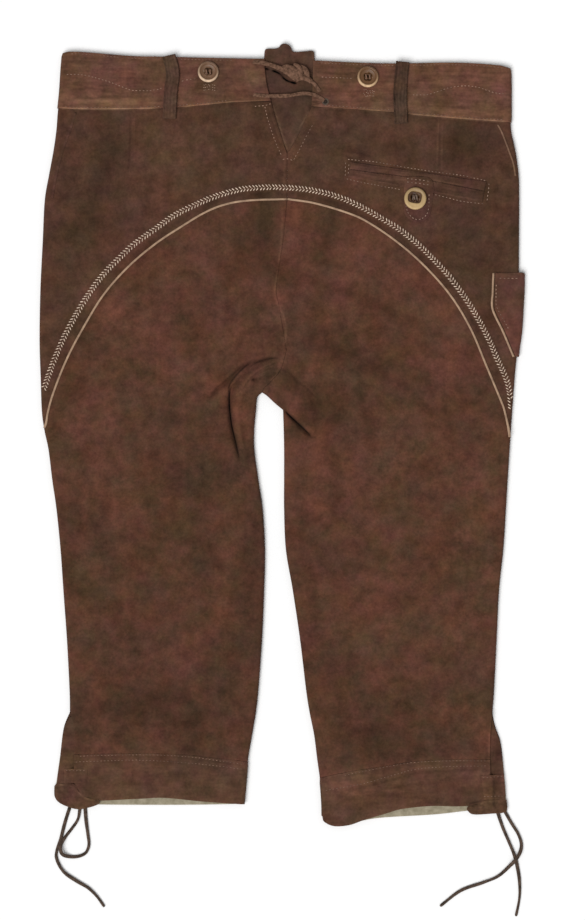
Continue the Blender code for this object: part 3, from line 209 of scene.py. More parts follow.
POCKET_FRAME = ((350.5, 161.5), (487.0, 181.5), (482.5, 202.0), (347.5, 177.0))
POCKET_MOUTH = ((349.5, 169.3), (419, 178.6), (484.5, 191.0))
POCKET_TAB = (
    (404.5, 176.5), (431.5, 180), (431.2, 209), (427, 218.5), (418, 222.5), (409.5, 219.5), (404, 210),
)
SIDE_POCKET_EDGE = ((495.4, 272.6), (494.6, 292), (494.6, 309), (504.8, 331), (515.4, 356.4))
SIDE_POCKET_LIP = ((525.3, 272.6), (525.2, 288), (524.4, 304), (522.8, 330), (520.6, 346), (519.4, 357))
HIP_PIPING_LEFT = ((75.6, 112.4), (69.6, 131), (61.6, 153), (55.6, 178), (52.2, 198))
HIP_PIPING_RIGHT = ((497.6, 124.6), (501.2, 131), (505.2, 141), (510.0, 154), (513.4, 164), (515.4, 176))
PIPING_MIDDLE = ((286.9, 199.0), (287.5, 199.0))  # where the seat's two pipings meet
PIPING_END = ((508.2, 428.0), (509.3, 437.0))  # the right one's run on to the fold
LOOP_LEFT = ((168.8, 55.4), (172.8, 73), (171.0, 90), (169.2, 118.6))
LOOP_RIGHT = ((402.8, 61.8), (400.9, 78), (400.0, 98), (401.2, 123.4))
GUSSET = (
    (263.8, 60), (264.4, 51), (266, 48.4), (277.6, 47.6), (280.4, 44.4), (284.2, 43.2), (288.4, 44.4),
    (291.4, 47.2), (293.4, 51.2), (305.6, 50.6), (309.6, 50), (314.2, 51.4), (315, 61), (318.6, 84),
    (317.4, 104), (300.5, 144), (288.2, 160), (279.5, 150), (263.6, 101), (260, 80),
)
GUSSET_RIDGE = ((285.0, 45.0), (286.6, 52), (289.0, 61))

SLIT_LEFT = (
    (69.8, 717), (65, 725), (62.4, 736), (60, 756), (57.1, 776), (55.9, 787.4), (81, 787.4), (81, 717),
)
SLIT_RIGHT = (
    (492.4, 717), (495, 727), (500.5, 742), (502.9, 759), (504.8, 780), (506.2, 803), (483, 803), (483, 717),
)
LACE_TAB_LEFT = ((64.0, 768.8), (87.4, 768.2), (87.2, 780.2), (84, 783.2), (63.4, 783.3))
LACE_TAB_RIGHT = ((480.8, 775.4), (504.0, 774.6), (505.4, 787), (506.0, 799.7), (484.0, 800.0))
CASING_LEFT = (
    (53.9, 786.4), (54.2, 796.6), (58.8, 803), (68, 807.4), (78, 809.8), (89, 808), (98.4, 804.6),
    (99.6, 801.6), (97, 799), (86, 797), (79, 791.8), (74.6, 784.2), (62, 783.6), (56.6, 783.6),
)
CASING_RIGHT = (
    (507, 800.4), (507.6, 808.4), (505.4, 812.8), (492, 814.2), (474, 815), (468.4, 812), (466.6, 808.4),
    (469.4, 805.4), (478.6, 803.8), (483, 800.6), (494, 799.9),
)

# Free laces: (right, down) of each point, from where they leave the casing.
LACE_LEFT_TAIL = (
    (69.6, 807), (64.4, 823.5), (60.4, 839), (56.4, 851), (56.2, 860), (63, 872.5), (75.7, 881.6), (88, 889),
    (97, 898), (104, 907.7),
)
LACE_LEFT_LOOP = (
    (84.6, 807.6), (85.6, 821), (87.4, 835), (88.4, 846), (84.4, 854.4), (74, 857.6), (62.8, 855.2),
    (60.2, 847), (64.4, 838.4), (71.6, 829), (77.4, 820), (79.4, 809.4),
)
LACE_RIGHT_INNER = (
    (497.4, 811.2), (503, 828), (509.4, 843), (515, 857), (518.2, 870), (520, 884), (519.8, 899), (516.4, 917),
)
LACE_RIGHT_OUTER = (
    (504.8, 811.4), (511.5, 823.4), (518.4, 834.6), (521.8, 846), (518.6, 856), (509.4, 867.4), (497.6, 877.6),
    (483, 883.6), (461, 891.5), (440.4, 907),
)
# Where one lace lies over another: right, down, half length of the hump
LACE_HUMPS = {
    "knee_lace_left_loop": ((60.0, 849.0, 15.0),),
    "knee_lace_right_outer": ((517.0, 859.0, 14.0),),
}

# Laces that pull the V together: right, down, height of the lace's middle over the bands' surface
TIE_UPPER_LEFT = (
    (253.0, 61.6, 2.55), (262, 62.8, 3.0), (272, 65.4, 2.4), (280, 68.6, 2.8), (285.6, 70.6, 3.4),
)
TIE_UPPER_RIGHT = ((302.0, 73.4, 3.6), (308, 78.2, 3.4), (314.4, 84.2, 3.0), (319.8, 91.6, 2.55))
TIE_LOWER = (
    (253.4, 94.6, 2.55), (264, 95.8, 2.9), (277, 96, 1.6), (290, 95.4, 1.4), (303, 93.4, 1.8), (314.6, 95, 2.9),
    (324.2, 100.6, 2.55),
)

# The button's half profile: distance from the axis and height, as parts of its radius
BUTTON_PROFILE = (
    (0.9, 0), (0.98, 0.09), (1, 0.17), (0.97, 0.27), (0.88, 0.325), (0.78, 0.3), (0.68, 0.22), (0.5, 0.18),
)
BUTTON_SIDES = 72
HOLE_SIDES = 16
BUTTON_HOLE = 0.95
BUTTON_HOLE_SPREAD = 2.1
# Name, right, down, height of the leather under it, width
BUTTONS = (
    ("waist_button_left", 208.3, 72, BAND_RISE, 21), ("waist_button_right", 367.9, 77, BAND_RISE, 21.2),
    ("pocket_button", 415.1, 198.9, 2 * HIDE + SEAM + 0.3, 22.4),
)

# Finer creases, that the solids leave out, with painted shade in each trough; a depth below 0 makes a raised
# line with a painted highlight: depth, half width, ridge rise, side, ridge width, route
FINE_CREASES = (
    (0.8, 1.1, 0.6, -1, 3, ((130.5, 112), (130.3, 134), (129.4, 158), (127.5, 177))),
    (-0.35, 0.9, 0, 1, 3, ((134.8, 113), (134.6, 130), (134, 150))),
    (0.25, 0.8, 0, 1, 3, ((440, 120), (439.8, 140), (439.6, 160), (439.4, 173))),
    (-0.45, 0.7, 0, 1, 2, ((311.8, 99.4), (317, 99.8), (322.4, 100.8))),
    (-0.45, 0.7, 0, 1, 2, ((312.4, 103.2), (317, 102.6), (322, 101.9))),
    (-0.4, 0.7, 0, 1, 2, ((313.4, 106.2), (318, 104.8), (322.6, 103.2))),
    (0.4, 0.7, 0, 1, 2, ((312, 101.2), (317, 101.2), (321.4, 101.3))),
    (0.5, 1.4, 0.3, 1, 4, ((118, 300), (128, 291), (142, 283))),
    (0.4, 1.4, 0.3, 1, 4, ((111, 312), (122, 301), (134, 293))),
    (0.4, 1.6, 0.3, -1, 4, ((205, 300), (222, 318), (236, 340))),
    (0.4, 2, 0.3, 1, 5, ((150, 262), (176, 250), (206, 244))),
    (0.4, 2.4, 0.3, 1, 6, ((196, 420), (190, 450), (188, 486))),
    (0.5, 2.2, 0.4, -1, 6, ((243, 470), (246, 520), (247, 570))),
    (0.4, 2.2, 0.4, 1, 6, ((306, 480), (303, 520), (304, 566))),
    (0.4, 2.4, 0.3, 1, 6, ((338, 350), (356, 372), (366, 400))),
    (0.4, 1.8, 0.4, -1, 4, ((121, 186), (140, 178.5), (160, 173))),
    (0.5, 1.3, 0.5, 1, 4, ((60, 97.6), (90, 96.4), (130, 96), (159, 95.4))),
    (0.35, 1.2, 0.4, 1, 3.4, ((413, 105), (450, 106), (484, 109), (508, 112))),
    (0.6, 0.9, 0.3, 1, 2.4, ((320, 72.4), (334, 73.4), (354, 74.2))),
    (0.4, 1, 0.3, 1, 2.4, ((62, 83), (80, 84.6), (104, 90), (130, 94.6))),
    (0.35, 1, 0.3, -1, 2.4, ((414, 79), (440, 76.4), (470, 75.6), (498, 79))),
    (
        2, 0.8, 0.5, 1, 3,
        ((238.4, 381), (232.6, 385), (230, 391), (229.2, 403), (231.4, 424), (236, 444), (240.6, 464)),
    ),
    (1.3, 0.8, 0.4, 1, 2.4, ((252, 360.4), (243, 368), (235, 376.4), (229.6, 385), (228.8, 396))),
    (0.8, 0.8, 0.4, 1, 2.4, ((281, 357), (268, 358.6), (256, 362.4), (246.4, 369.4))),
    (0.7, 0.8, 0.3, 1, 2.4, ((281.4, 360), (268.4, 366), (256.4, 373), (248, 381.6), (241, 392))),
    (0.5, 0.8, 0.3, 1, 2.4, ((276, 366), (263, 371), (252, 378.6))),
    (0.6, 0.9, 0.3, -1, 2.6, ((247.6, 361.8), (238.6, 369.6), (227, 379.4), (215.4, 389.7), (208.6, 401))),
    (2, 0.8, 0.4, -1, 3, ((281.4, 408), (290, 416), (298.7, 424), (312.6, 437.4))),
    (0.6, 1.1, 0.4, 1, 3.4, ((286, 366), (296, 380), (308, 389), (318, 400))),
    (-0.35, 1.1, 0, 1, 3, ((274, 290), (280.6, 309.6), (286.6, 326), (283, 352), (277, 372), (271, 386))),
    (0.3, 0.9, 0.3, 1, 2.4, ((350, 162.4), (388, 167.9), (431, 173.6))),
    (-0.3, 0.8, 0, 1, 2.4, ((352, 165.6), (376, 168.4), (404, 172.8))),
    (-0.35, 0.8, 0, 1, 2.4, ((351, 172.4), (374, 176.6), (403, 181.4))),
    (0.4, 0.9, 0.3, 1, 2.4, ((350.5, 174.6), (374, 179), (403, 184))),
    (-0.5, 1, 0, 1, 2.4, ((434.5, 181.2), (464, 184.8), (482, 188.2))),
    (0.35, 0.9, 0.3, 1, 2.4, ((433, 187.8), (458, 192.2), (483, 197.8))),
    (-0.35, 0.9, 0, 1, 2.4, ((436, 192), (458, 196.4), (481, 201))),
    (0.4, 1.1, 0.4, 1, 3, ((346, 150), (360, 152.6), (374, 156.4))),
    (0.7, 2.2, 0.5, 1, 5, ((268, 318), (250, 330), (238, 346), (232, 360))),
    (0.8, 2, 0.6, 1, 5, ((296, 372), (306, 380), (316, 392), (322, 408))),
    (0.7, 1.8, 0.4, -1, 4, ((262, 352), (246, 357), (232, 366), (222, 380))),
    (0.9, 1.6, 0.6, 1, 4, ((281, 371), (272, 375), (262, 378), (250, 381))),
    (0.8, 1.8, 0.5, -1, 4, ((240, 408), (243, 432), (247, 452), (250, 476))),
    (0.7, 2, 0.4, 1, 5, ((330, 150), (352, 157), (366, 158))),
    (0.6, 2.4, 0.4, 1, 6, ((300, 258), (330, 262), (362, 272), (392, 288))),
    (0.6, 2.6, 0.4, -1, 6, ((402, 330), (384, 342), (362, 350), (340, 353))),
    (0.6, 2.4, 0.4, 1, 6, ((352, 384), (366, 402), (374, 424), (376, 446))),
    (0.5, 2.4, 0.3, 1, 6, ((196, 300), (176, 318), (160, 342))),
    (0.5, 2.6, 0.3, -1, 6, ((208, 404), (198, 428), (194, 456))),
    (0.6, 2.6, 0.4, 1, 6, ((128, 520), (150, 534), (176, 540), (202, 536))),
    (0.5, 2.4, 0.3, 1, 6, ((96, 640), (124, 650), (158, 650))),
    (0.6, 2.6, 0.4, -1, 6, ((352, 560), (384, 572), (418, 572), (446, 562))),
    (0.5, 2.4, 0.3, 1, 6, ((340, 660), (366, 668), (396, 668))),
    (0.6, 2, 0.4, 1, 5, ((120, 716), (150, 724), (186, 722), (216, 714))),
    (0.6, 2, 0.4, -1, 5, ((336, 722), (362, 730), (392, 728))),
    (0.5, 2, 0.3, 1, 5, ((60, 240), (72, 262), (80, 290))),
    (0.5, 2, 0.3, -1, 5, ((500, 220), (488, 244), (484, 268))),
    (0.7, 1.5, 0.5, 1, 3.6, ((309, 100), (315, 102), (321, 103.6))),
    (0.6, 1.3, 0.5, 1, 3, ((309, 104), (315, 105.4), (321, 106.4))),
    (0.6, 1.3, 0.5, 1, 3.6, ((328, 793.5), (350, 789), (369, 785), (403, 776.4), (426, 771.4), (488, 768.5))),
    (0.5, 1.2, 0.4, 1, 3, ((334, 803), (352, 797.4), (374, 790.4), (400, 786), (430, 781))),
    (0.6, 1.8, 0.5, -1, 4, ((346, 800), (358, 797.6), (372, 794.6), (392, 793.6), (408, 796))),
    (0.6, 1.6, 0.4, 1, 4, ((84, 789), (92, 793), (97, 798))),
    (0.5, 1.6, 0.4, 1, 4, ((104, 786), (130, 783), (160, 785))),
    (0.4, 1.8, 0.3, 1, 4, ((180, 792), (206, 790), (232, 793))),
)

# Lighter, darker, redder or greener places of the hide, most worn in by hand and sun; a few dark ones are
# painted shade, in a pit at the crotch, in the lace holes and along the right leg's inner fold.
# right, down, half length, half width, turn in degrees, lighter (+) or darker (-), redder (+) or greener (-)
PATCHES = (
    (120, 345, 40, 46, 0, 0.05, 0.6), (445, 350, 56, 40, 0, 0.03, 0.8), (245, 290, 26, 24, 0, 0.03, 0.7),
    (372, 350, 26, 20, 20, 0.1, 0.6), (294, 305, 11, 30, 0, -0.14, -0.1), (354, 165, 14, 26, 0, 0.08, 0.1),
    (378, 98, 52, 6, 3, -0.1, 0.1), (500, 111, 8, 6, 0, 0.14, 0), (237, 76, 10, 16, 0, -0.08, -0.4),
    (74, 88, 9, 18, 0, 0.08, 0.1), (148, 76, 14, 6, 0, 0.1, 0.2), (500, 788, 5, 12, 0, -0.14, 0),
    (100, 784, 14, 14, 0, -0.09, 0.2), (112, 101.5, 56, 5.5, 1, 0.55, -0.5), (462, 111.5, 50, 5, 3, 0.3, 0.1),
    (360.4, 808.9, 2.4, 1.8, 0, -0.45, 0), (256, 75.5, 8, 6, 0, 0.16, -0.4), (268, 330, 12, 6, 10, -0.12, -0.2),
    # (253.1, 379.8): painted shade in a pit at the crotch
    (253.1, 379.8, 1.9, 1.7, 0, -0.8, 0), (498, 750, 6, 26, 0, -0.2, 0.4), (478, 808, 16, 6, 0, 0.05, 0.7),
    # (298, 530): painted shade along the right leg's inner fold
    (494.6, 787, 2.2, 10, 0, -0.16, 0), (65, 738, 5, 20, 0, -0.12, -0.2), (298, 530, 10, 80, 0, -0.14, -0.2),
    (345, 265, 44, 34, 0, 0.06, 0.4), (425, 325, 30, 34, 0, 0.09, 0.5), (465, 475, 30, 50, 0, 0.06, 0.1),
    (168, 704, 66, 26, 0, -0.06, 0), (160, 645, 70, 26, 0, -0.08, 0), (340, 792, 14, 8, -8, 0.1, 0.1),
    (160, 782, 60, 12, 0, -0.05, -0.2), (462, 225, 24, 18, 0, -0.07, -0.3), (265, 228, 9, 34, 0, -0.12, -0.8),
    # (251.6, 61.6), (251.6, 93.8) and (321, 93.4) on the next line: painted shade in the lace holes
    (298, 250, 12, 50, 0, 0.05, 0.5), (251.6, 61.6, 2, 1.8, 0, -0.5, 0), (251.6, 93.8, 2, 1.8, 0, -0.5, 0),
    (321, 93.4, 2, 1.8, 0, -0.6, 0), (272, 78, 9, 17, -6, -0.22, 0), (300, 90, 10, 8, 0, -0.1, 0.2),
    (287, 118, 9, 18, 0, -0.1, 0.3), (415, 196, 14, 16, 0, 0.02, 0.7), (420, 176, 34, 9, 6, 0.04, 0.2),
    (350, 182, 20, 10, 0, 0.04, 0.8), (285, 56, 6, 8, 0, -0.12, 0.5), (304, 60, 9, 11, 0, 0.16, -0.6),
    (293, 155, 8, 6, 0, 0.22, 0.6), (272, 112, 6, 22, -18, -0.14, -0.2), (300, 118, 8, 20, 20, 0.08, -0.4),
    (463, 150, 30, 20, 0, -0.06, 0), (420, 214, 60, 12, 6, -0.04, 0.4), (226, 560, 14, 60, 0, 0.1, 0.3),
    (110, 690, 50, 30, 0, -0.06, 0), (366, 500, 50, 60, 0, 0.02, 0.3), (118, 72, 40, 9, 3, 0.06, 0.4),
    (150, 88, 30, 9, 0, -0.04, 0.5), (245, 80, 14, 16, 5, 0.14, 0.1), (215, 98, 40, 5, -4, 0.06, 0.2),
    (470, 79, 34, 7, 4, 0.1, 0), (450, 108, 50, 6, 3, 0.1, 0), (345, 90, 26, 12, 3, 0, 0.3),
    (352, 68, 30, 6, 0, -0.08, -0.2), (100, 122, 34, 10, 6, 0, 0.4), (112, 150, 14, 28, 0, -0.2, -0.7),
    (92, 205, 16, 60, 12, -0.22, -0.5), (66, 180, 12, 60, 10, -0.1, 0.5), (60, 280, 14, 60, 4, -0.1, -0.4),
    (150, 190, 24, 34, 30, 0.02, 0.6), (130, 240, 22, 40, 30, 0, 0.7), (190, 140, 40, 26, 0, 0.06, 0.1),
    (225, 130, 30, 30, 0, 0.02, -0.4), (246, 168, 22, 18, 0, -0.02, -0.3), (262, 140, 8, 26, -18, -0.14, 0.2),
    (340, 150, 40, 26, 0, 0.02, -0.3), (390, 148, 26, 12, 0, -0.12, -0.3), (462, 140, 24, 22, 0, -0.14, -0.5),
    (398, 212, 44, 16, 12, 0, 0.1), (470, 240, 26, 40, 0, -0.08, -0.3), (500, 250, 10, 60, 0, -0.04, 0.3),
    (508, 320, 12, 30, 0, 0.08, 0.3), (258, 232, 12, 30, 0, -0.2, -0.3), (290, 230, 10, 34, 0, 0.02, 0.6),
    (220, 250, 30, 26, 0, -0.02, -0.3), (322, 228, 26, 14, 20, -0.1, 0.2), (285, 275, 22, 14, 0, -0.12, -0.5),
    (330, 300, 40, 22, 20, 0.03, 0.3), (160, 290, 50, 40, 30, 0, 0.3), (128, 340, 30, 40, 20, 0.02, -0.3),
    (230, 330, 28, 22, -20, 0.06, 0.3), (412, 270, 30, 22, 30, 0.02, 0.4), (420, 330, 44, 36, 30, -0.04, -0.4),
    (334, 345, 40, 16, 10, -0.16, -0.5), (365, 385, 34, 14, 30, -0.1, -0.4),
    (322, 405, 20, 26, 30, -0.14, -0.3), (268, 372, 16, 12, 0, -0.06, -0.5), (228, 396, 6, 34, -6, -0.16, 0.3),
    (243, 420, 7, 44, -8, 0.02, 0.5), (90, 430, 30, 60, 0, 0.03, 0.3), (160, 440, 40, 50, 0, -0.02, -0.3),
    (206, 470, 24, 50, 0, -0.08, -0.5), (120, 520, 46, 40, 0, 0.02, 0.4), (190, 560, 34, 40, 0, -0.02, -0.2),
    (252, 560, 10, 90, 0, -0.12, 0.1), (88, 600, 22, 60, 0, -0.04, -0.4), (150, 640, 50, 30, 0, 0.02, 0.2),
    (186, 706, 76, 26, 4, -0.2, -0.4), (98, 700, 26, 30, 0, -0.06, 0.3), (150, 778, 60, 12, 0, 0, 0.3),
    (222, 780, 18, 22, 0, 0.02, -0.3), (330, 470, 26, 60, 0, 0, 0.3), (386, 480, 34, 60, 0, -0.04, -0.5),
    (450, 440, 40, 50, 0, 0, 0.5), (470, 540, 24, 60, 0, 0.03, -0.3), (400, 590, 50, 40, 0, 0.04, 0.3),
    (310, 560, 12, 70, 0, 0.02, 0.4), (340, 680, 30, 40, 0, -0.1, 0), (372, 735, 56, 22, 6, -0.2, -0.5),
    (470, 690, 20, 50, 0, 0.02, -0.3), (450, 740, 30, 18, 0, -0.1, -0.4), (345, 785, 26, 14, -12, 0.12, 0.3),
    (420, 784, 50, 12, -4, 0.04, 0.5), (462, 800, 22, 9, 0, 0, 0.2), (372, 808, 18, 6, -10, -0.12, -0.2),
    (80, 745, 8, 30, 0, -0.1, -0.3), (497, 760, 6, 40, 0, -0.14, 0.2),
)

# The shade that the upper tie throws on the gusset
TIE_SHADE = ((263, 67.6), (273, 70.4), (280.4, 74.0), (284.4, 78.8), (290.6, 81.8), (298, 83.4))

# Turned edges that are rubbed light, and lines of painted shade under the waistband, round the embroidery and
# under the upper tie: how much lighter, half width, route
RUBBED_AND_SHADED_EDGES = (
    (1.62, 0.9, ((57.6, 108.1), (92, 109), (130, 108.8), (161, 108))),
    (1, 0.8, ((178, 107.2), (195, 105.6), (230, 102), (271, 100.6))),
    (0.55, 0.8, ((313, 106.2), (355, 109), (392, 111.8))),
    (1.5, 0.9, ((409, 114.2), (460, 118.3), (485, 120.3), (511, 122.1))),
    # painted shade under the waistband's lower edge, here and on the next two lines
    (-0.18, 1.2, ((59, 110.4), (92, 111.4), (130, 111.2), (161, 110.4))),
    (-0.18, 1.2, ((178, 109.2), (195, 107.6), (230, 104.2), (268, 103))),
    (-0.2, 1.2, ((316, 108.8), (355, 111.4), (460, 120.6), (509, 124.6))),
    (0.7, 0.9, ((272.6, 104), (277.6, 119.6), (286, 146.5), (287.4, 152))),
    (0.55, 0.9, ((309.8, 108.4), (303, 122), (294.6, 138), (289, 149.5))),
    (0.35, 0.9, ((268.6, 104.6), (273.4, 120.4), (281.4, 145))),
    (0.45, 0.9, ((491.4, 723), (489.4, 738), (489.3, 763))),
    # painted shade round the embroidery
    (
        -0.25, 3.4,
        (
            (58, 392), (88, 322.6), (138, 256), (205, 205.6), (262, 194), (320, 198.4), (392, 234.6),
            (452, 290), (500, 366),
        ),
    ),
    (0.5, 0.9, ((64.4, 769.6), (87, 769))), (0.45, 0.9, ((481.2, 776.2), (503.6, 775.4))),
    (0.6, 0.9, ((57, 785), (66, 785), (73.2, 787.2), (79, 793), (86, 798.2), (97, 800.2))),
    (0.6, 0.9, ((479, 805), (484, 802), (494, 801.2), (506.4, 801.6))),
    # darker beside the right casing's top, then the painted shadow of the upper tie (TIE_SHADE)
    (-0.4, 1, ((468, 803.8), (478, 802), (483, 799.2))), (-1.3, 1.1, TIE_SHADE),
    (0.4, 1, ((284.6, 156), (283.8, 197))), (0.42, 0.8, ((438.4, 120), (437.6, 146), (437, 173))),
    (0.34, 0.8, ((442.4, 124), (442, 146), (441.8, 172))), (0.3, 1.2, ((76.4, 113), (72.4, 124))),
    (
        0.42, 1,
        (
            (282.7, 204), (281.7, 230), (279.4, 258), (276.2, 280), (274.6, 292), (277.6, 304), (284.6, 318),
            (286, 350),
        ),
    ),
    (0.2, 1.4, ((286.5, 350), (281, 366), (271, 381.4))),
)

# Rows of sewing: (right, down) along each, on top of what lies there
WAVE_LEFT = (
    (66, 74.4), (83, 74.9), (100, 79), (114, 83.5), (129.5, 89.5), (140, 90.6), (152, 90.3), (163, 88),
)
WAVE_LEFT_END = ((181, 81.4), (188, 79.6), (197, 78.6))
WAVE_RIGHT = (
    (412, 94.8), (427, 94.6), (438, 91.4), (449, 87.7), (459, 86), (470, 86), (481, 88), (494, 92.7),
    (505, 93.8),
)
BAND_ROW_RIGHT = ((321, 77), (336, 77.6), (353, 78.4))
V_ROW_LEFT = ((264.6, 105.6), (268.4, 121), (275.2, 141), (281.6, 155.4))
V_ROW_RIGHT = ((312.9, 124.5), (306, 136.6), (300.6, 147.5), (293, 160.5))
V_FOOT_ROW = ((282, 159.6), (287, 158.6), (293.4, 160.4))
BAND_CORNER_ROW = ((254, 106.2), (264, 105.4), (272, 103.4))
POCKET_ROW_TOP = (
    (347, 159.2), (374, 161.6), (401, 166.4), (429.8, 171), (454.6, 174.2), (470, 176.9), (486.6, 180.7),
)
POCKET_ROW_FOOT_LEFT = ((346, 178.6), (363.4, 182.4), (384.8, 186.6), (401, 189.6))
POCKET_ROW_FOOT_RIGHT = ((434.4, 194.4), (447.5, 197.4), (462, 201), (484.4, 203.8))
POCKET_ROW_SIDES = (
    ((345.6, 161.6), (345.3, 176.6)), ((348.9, 163.2), (348.4, 174.6)),
    ((489.2, 182.4), (488.6, 191), (486.8, 201.4)),
)
TAB_ROW = ((406.6, 190.6), (406.4, 208), (411, 216.6), (418, 219.6), (425.4, 216), (428.6, 208), (429, 193.6))
TAB_ROWS_TOP = (((406.0, 178.4), (430.0, 181.6)), ((406.2, 182.0), (429.8, 185.2)))
SIDE_POCKET_ROWS = (
    ((498.6, 278.2), (508, 278.4), (518.6, 278.6)), ((496.2, 284), (496, 300), (497.6, 309), (509, 329.6)),
)
KNEE_ROWS_LEFT = (
    ((79, 756.2), (100, 755.5), (150, 754.9), (185, 756.6), (212, 759.8), (243, 764)),
    ((75, 762), (100, 761), (142, 760.2), (186, 762.8), (213, 765.4), (243, 769)),
)
KNEE_ROWS_RIGHT = (
    ((344, 775.6), (366.6, 770.8), (403.4, 763.9), (428.8, 761.6), (452, 760.9), (487, 760.9)),
    ((325, 790.4), (350, 786.2), (369, 782.2), (395, 774.6), (418, 769), (450, 766.6), (487, 765.8)),
)
LACE_TAB_ROWS = (((65, 770.6), (86, 770.2)), ((482, 777.4), (503.6, 776.6)), ((483, 796.4), (504.4, 796.2)))
BUTTON_CLUSTERS = ((204.0, 84.4, 6, 3), (363.8, 90.4, 6, 3))  # left, down, across, rows

# The embroidery's middle, from the left side fold over the seat to the right one
ARCH_EMBROIDERY = (
    (43.4, 390), (54.2, 360.2), (63.6, 338), (74.8, 316.8), (87.1, 296.4), (101, 277), (117.5, 259.7),
    (134.6, 243.8), (154.2, 229.6), (173.1, 216), (193.7, 205.4), (215, 196.4), (238, 189.8), (262, 187.2),
    (286, 187.4), (310, 189.9), (333.7, 195.2), (356.2, 204.1), (377.4, 215.8), (398.2, 228.4), (417.3, 243.4),
    (434.6, 260.3), (450.9, 278.3), (465.2, 297.8), (478, 318.4), (489.1, 339.7), (498.4, 361.2), (506, 378),
    (509.8, 394), (511, 410),
)
EMBROIDERY_WIDTH = 5.8
EMBROIDERY_PITCH = 3.3
THREAD = 0.98  # embroidery thread's thickness
SEWING_THICK = 0.72  # sewing thread's thickness
SEWING_PITCH = 3.5

EYELET = (325.4, 101.6)
EYELET_RADIUS = 3.0

# Camera straight over the garment, far enough to see it almost without perspective
VIEW = (585.0, 920.0)  # mm of board that fill the picture
CAMERA_HEIGHT = 3.0  # m
SENSOR = 36.0
FLOOR_REACH = 12.0  # m, from its middle to its edges
FLOOR_DROP = 0.0002  # m, under the garment
SKY = 0.38  # strength of the white sky
SUN_FROM = (-0.32, -0.42, 1.0)
SUN_ANGLE = 0.7
SUN_ENERGY = 2.62
LIT_FROM = 256  # degrees round a button, to the side of its rim with the painted highlight

# The hollow button's half profile, and the knot's strands: (right, down, height over the bands)
HOLLOW_PROFILE = (
    (0.9, 0), (0.98, 0.08), (1, 0.17), (0.97, 0.27), (0.9, 0.325), (0.76, 0.315), (0.64, 0.27), (0.6, 0.2),
    (0.575, 0.13), (0.55, 0.1), (0.5, 0.1),
)
# Width, then the places along it
KNOT_STRANDS = (
    (7.6, ((283, 68.6, 2), (287, 67.8, 3.6), (291.6, 69.4, 4.4), (295.4, 73.4, 4.2), (297, 78.4, 2.6))),
    (6.4, ((284.4, 71.4, 1.6), (288.4, 73, 3.2), (292.4, 76.2, 3.4), (296.4, 79.8, 2))),
    (5.4, ((294, 64.8, 1.8), (297.6, 66.6, 4), (300, 70.6, 5), (300.8, 75.4, 4.6), (301.4, 80, 2.6))),
    (5.6, ((300, 66.6, 1.8), (304.2, 69, 3.8), (306.8, 73.2, 3.8), (308, 77.6, 2.2))),
    (5, ((296, 80.6, 1.6), (301, 78.4, 3.4), (306.4, 79.4, 3.2), (311, 82, 1.8))),
)

# ---------------------------------------------------------------- plan curves


def run_along(line):
    """How far along a line each of its points lies."""
    return np.concatenate([[0.0], np.cumsum(np.linalg.norm(np.diff(line, axis=0), axis=1))])


def on_line(line, along, at):
    """The places at some distances along a line."""
    return np.column_stack([np.interp(at, along, column) for column in line.T])


def unit(ways):
    """Directions, each made one long."""
    return ways / np.maximum(np.linalg.norm(ways, axis=-1, keepdims=True), 1e-12)


def right_of(ways):
    """Directions turned a quarter to the right on the board."""
    return np.column_stack([-ways[:, 1], ways[:, 0]])


def spaced(line, step):
    """Points at even distances of about one step along a line."""
    line = np.asarray(line, float)
    along = run_along(line)
    return on_line(line, along, np.linspace(0.0, along[-1], max(1, round(along[-1] / step)) + 1))


def smooth(points, step):
    """Points about one step apart on a smooth curve through the given ones."""
    points = np.asarray(points, float)
    ends = np.vstack([2 * points[0] - points[1], points, 2 * points[-1] - points[-2]])
    t = np.linspace(0.0, 1.0, 16, endpoint=False)[:, None]
    runs = []
    for a, b, c, d in zip(ends, ends[1:], ends[2:], ends[3:]):
        cubic = 2 * b + (c - a) * t + (2 * a - 5 * b + 4 * c - d) * t**2 + (3 * b - a - 3 * c + d) * t**3
        runs.append(0.5 * cubic)
    return spaced(np.vstack(runs + [points[-1:]]), step)


def section_line(column, top, foot):
    """The places of one fold in the sections between two levels, top to bottom."""
    return [(row[column], row[0]) for row in SECTIONS if row[column] and top <= row[0] <= foot]


OUTER_LEFT = smooth(section_line(1, 0, SLIT_TOP), ALONG)
OUTER_RIGHT = smooth(section_line(4, 0, SLIT_TOP), ALONG)
INNER_LEFT = smooth(section_line(2, 0, 900), ALONG)
INNER_RIGHT = smooth(section_line(3, 0, 900), ALONG)
CROTCH_LEFT = smooth((tuple(INNER_LEFT[0]),) + CROTCH[:3], ALONG / 3)
CROTCH_RIGHT = smooth(CROTCH[2:] + (tuple(INNER_RIGHT[0]),), ALONG / 3)
INNER_LINE = np.vstack([INNER_LEFT[::-1], CROTCH_LEFT[1:], CROTCH_RIGHT[1:], INNER_RIGHT[1:]])
FOLDS = (OUTER_LEFT, INNER_LINE, OUTER_RIGHT)


def fold_at(line, down):
    """The point of a fold at a level."""
    return float(np.interp(down, line[:, 1], line[:, 0])), down


def between(line, top, foot):
    """The stretch of a fold between two levels, top to bottom, with its own points between them."""
    own = [tuple(p) for p in line if top + LEAST_RUN < p[1] < foot - LEAST_RUN]
    return np.array([fold_at(line, top)] + own + [fold_at(line, foot)])


def seam(points, fold=None):
    """A smooth seam line, with closer points where it turns over the fold that it meets."""
    line = smooth([fold_at(fold, p[1]) if p[0] is None else p for p in points], OVER_FOLD)
    along = OVER_FOLD * np.arange(len(line))
    keep = np.zeros(len(line), bool)
    keep[:: round(ALONG / OVER_FOLD)] = True
    keep[[0, -1]] = True
    if points[0][0] is None:
        keep |= along < SEAM_TURN
    if points[-1][0] is None:
        keep |= along > along[-1] - SEAM_TURN
    return line[keep]


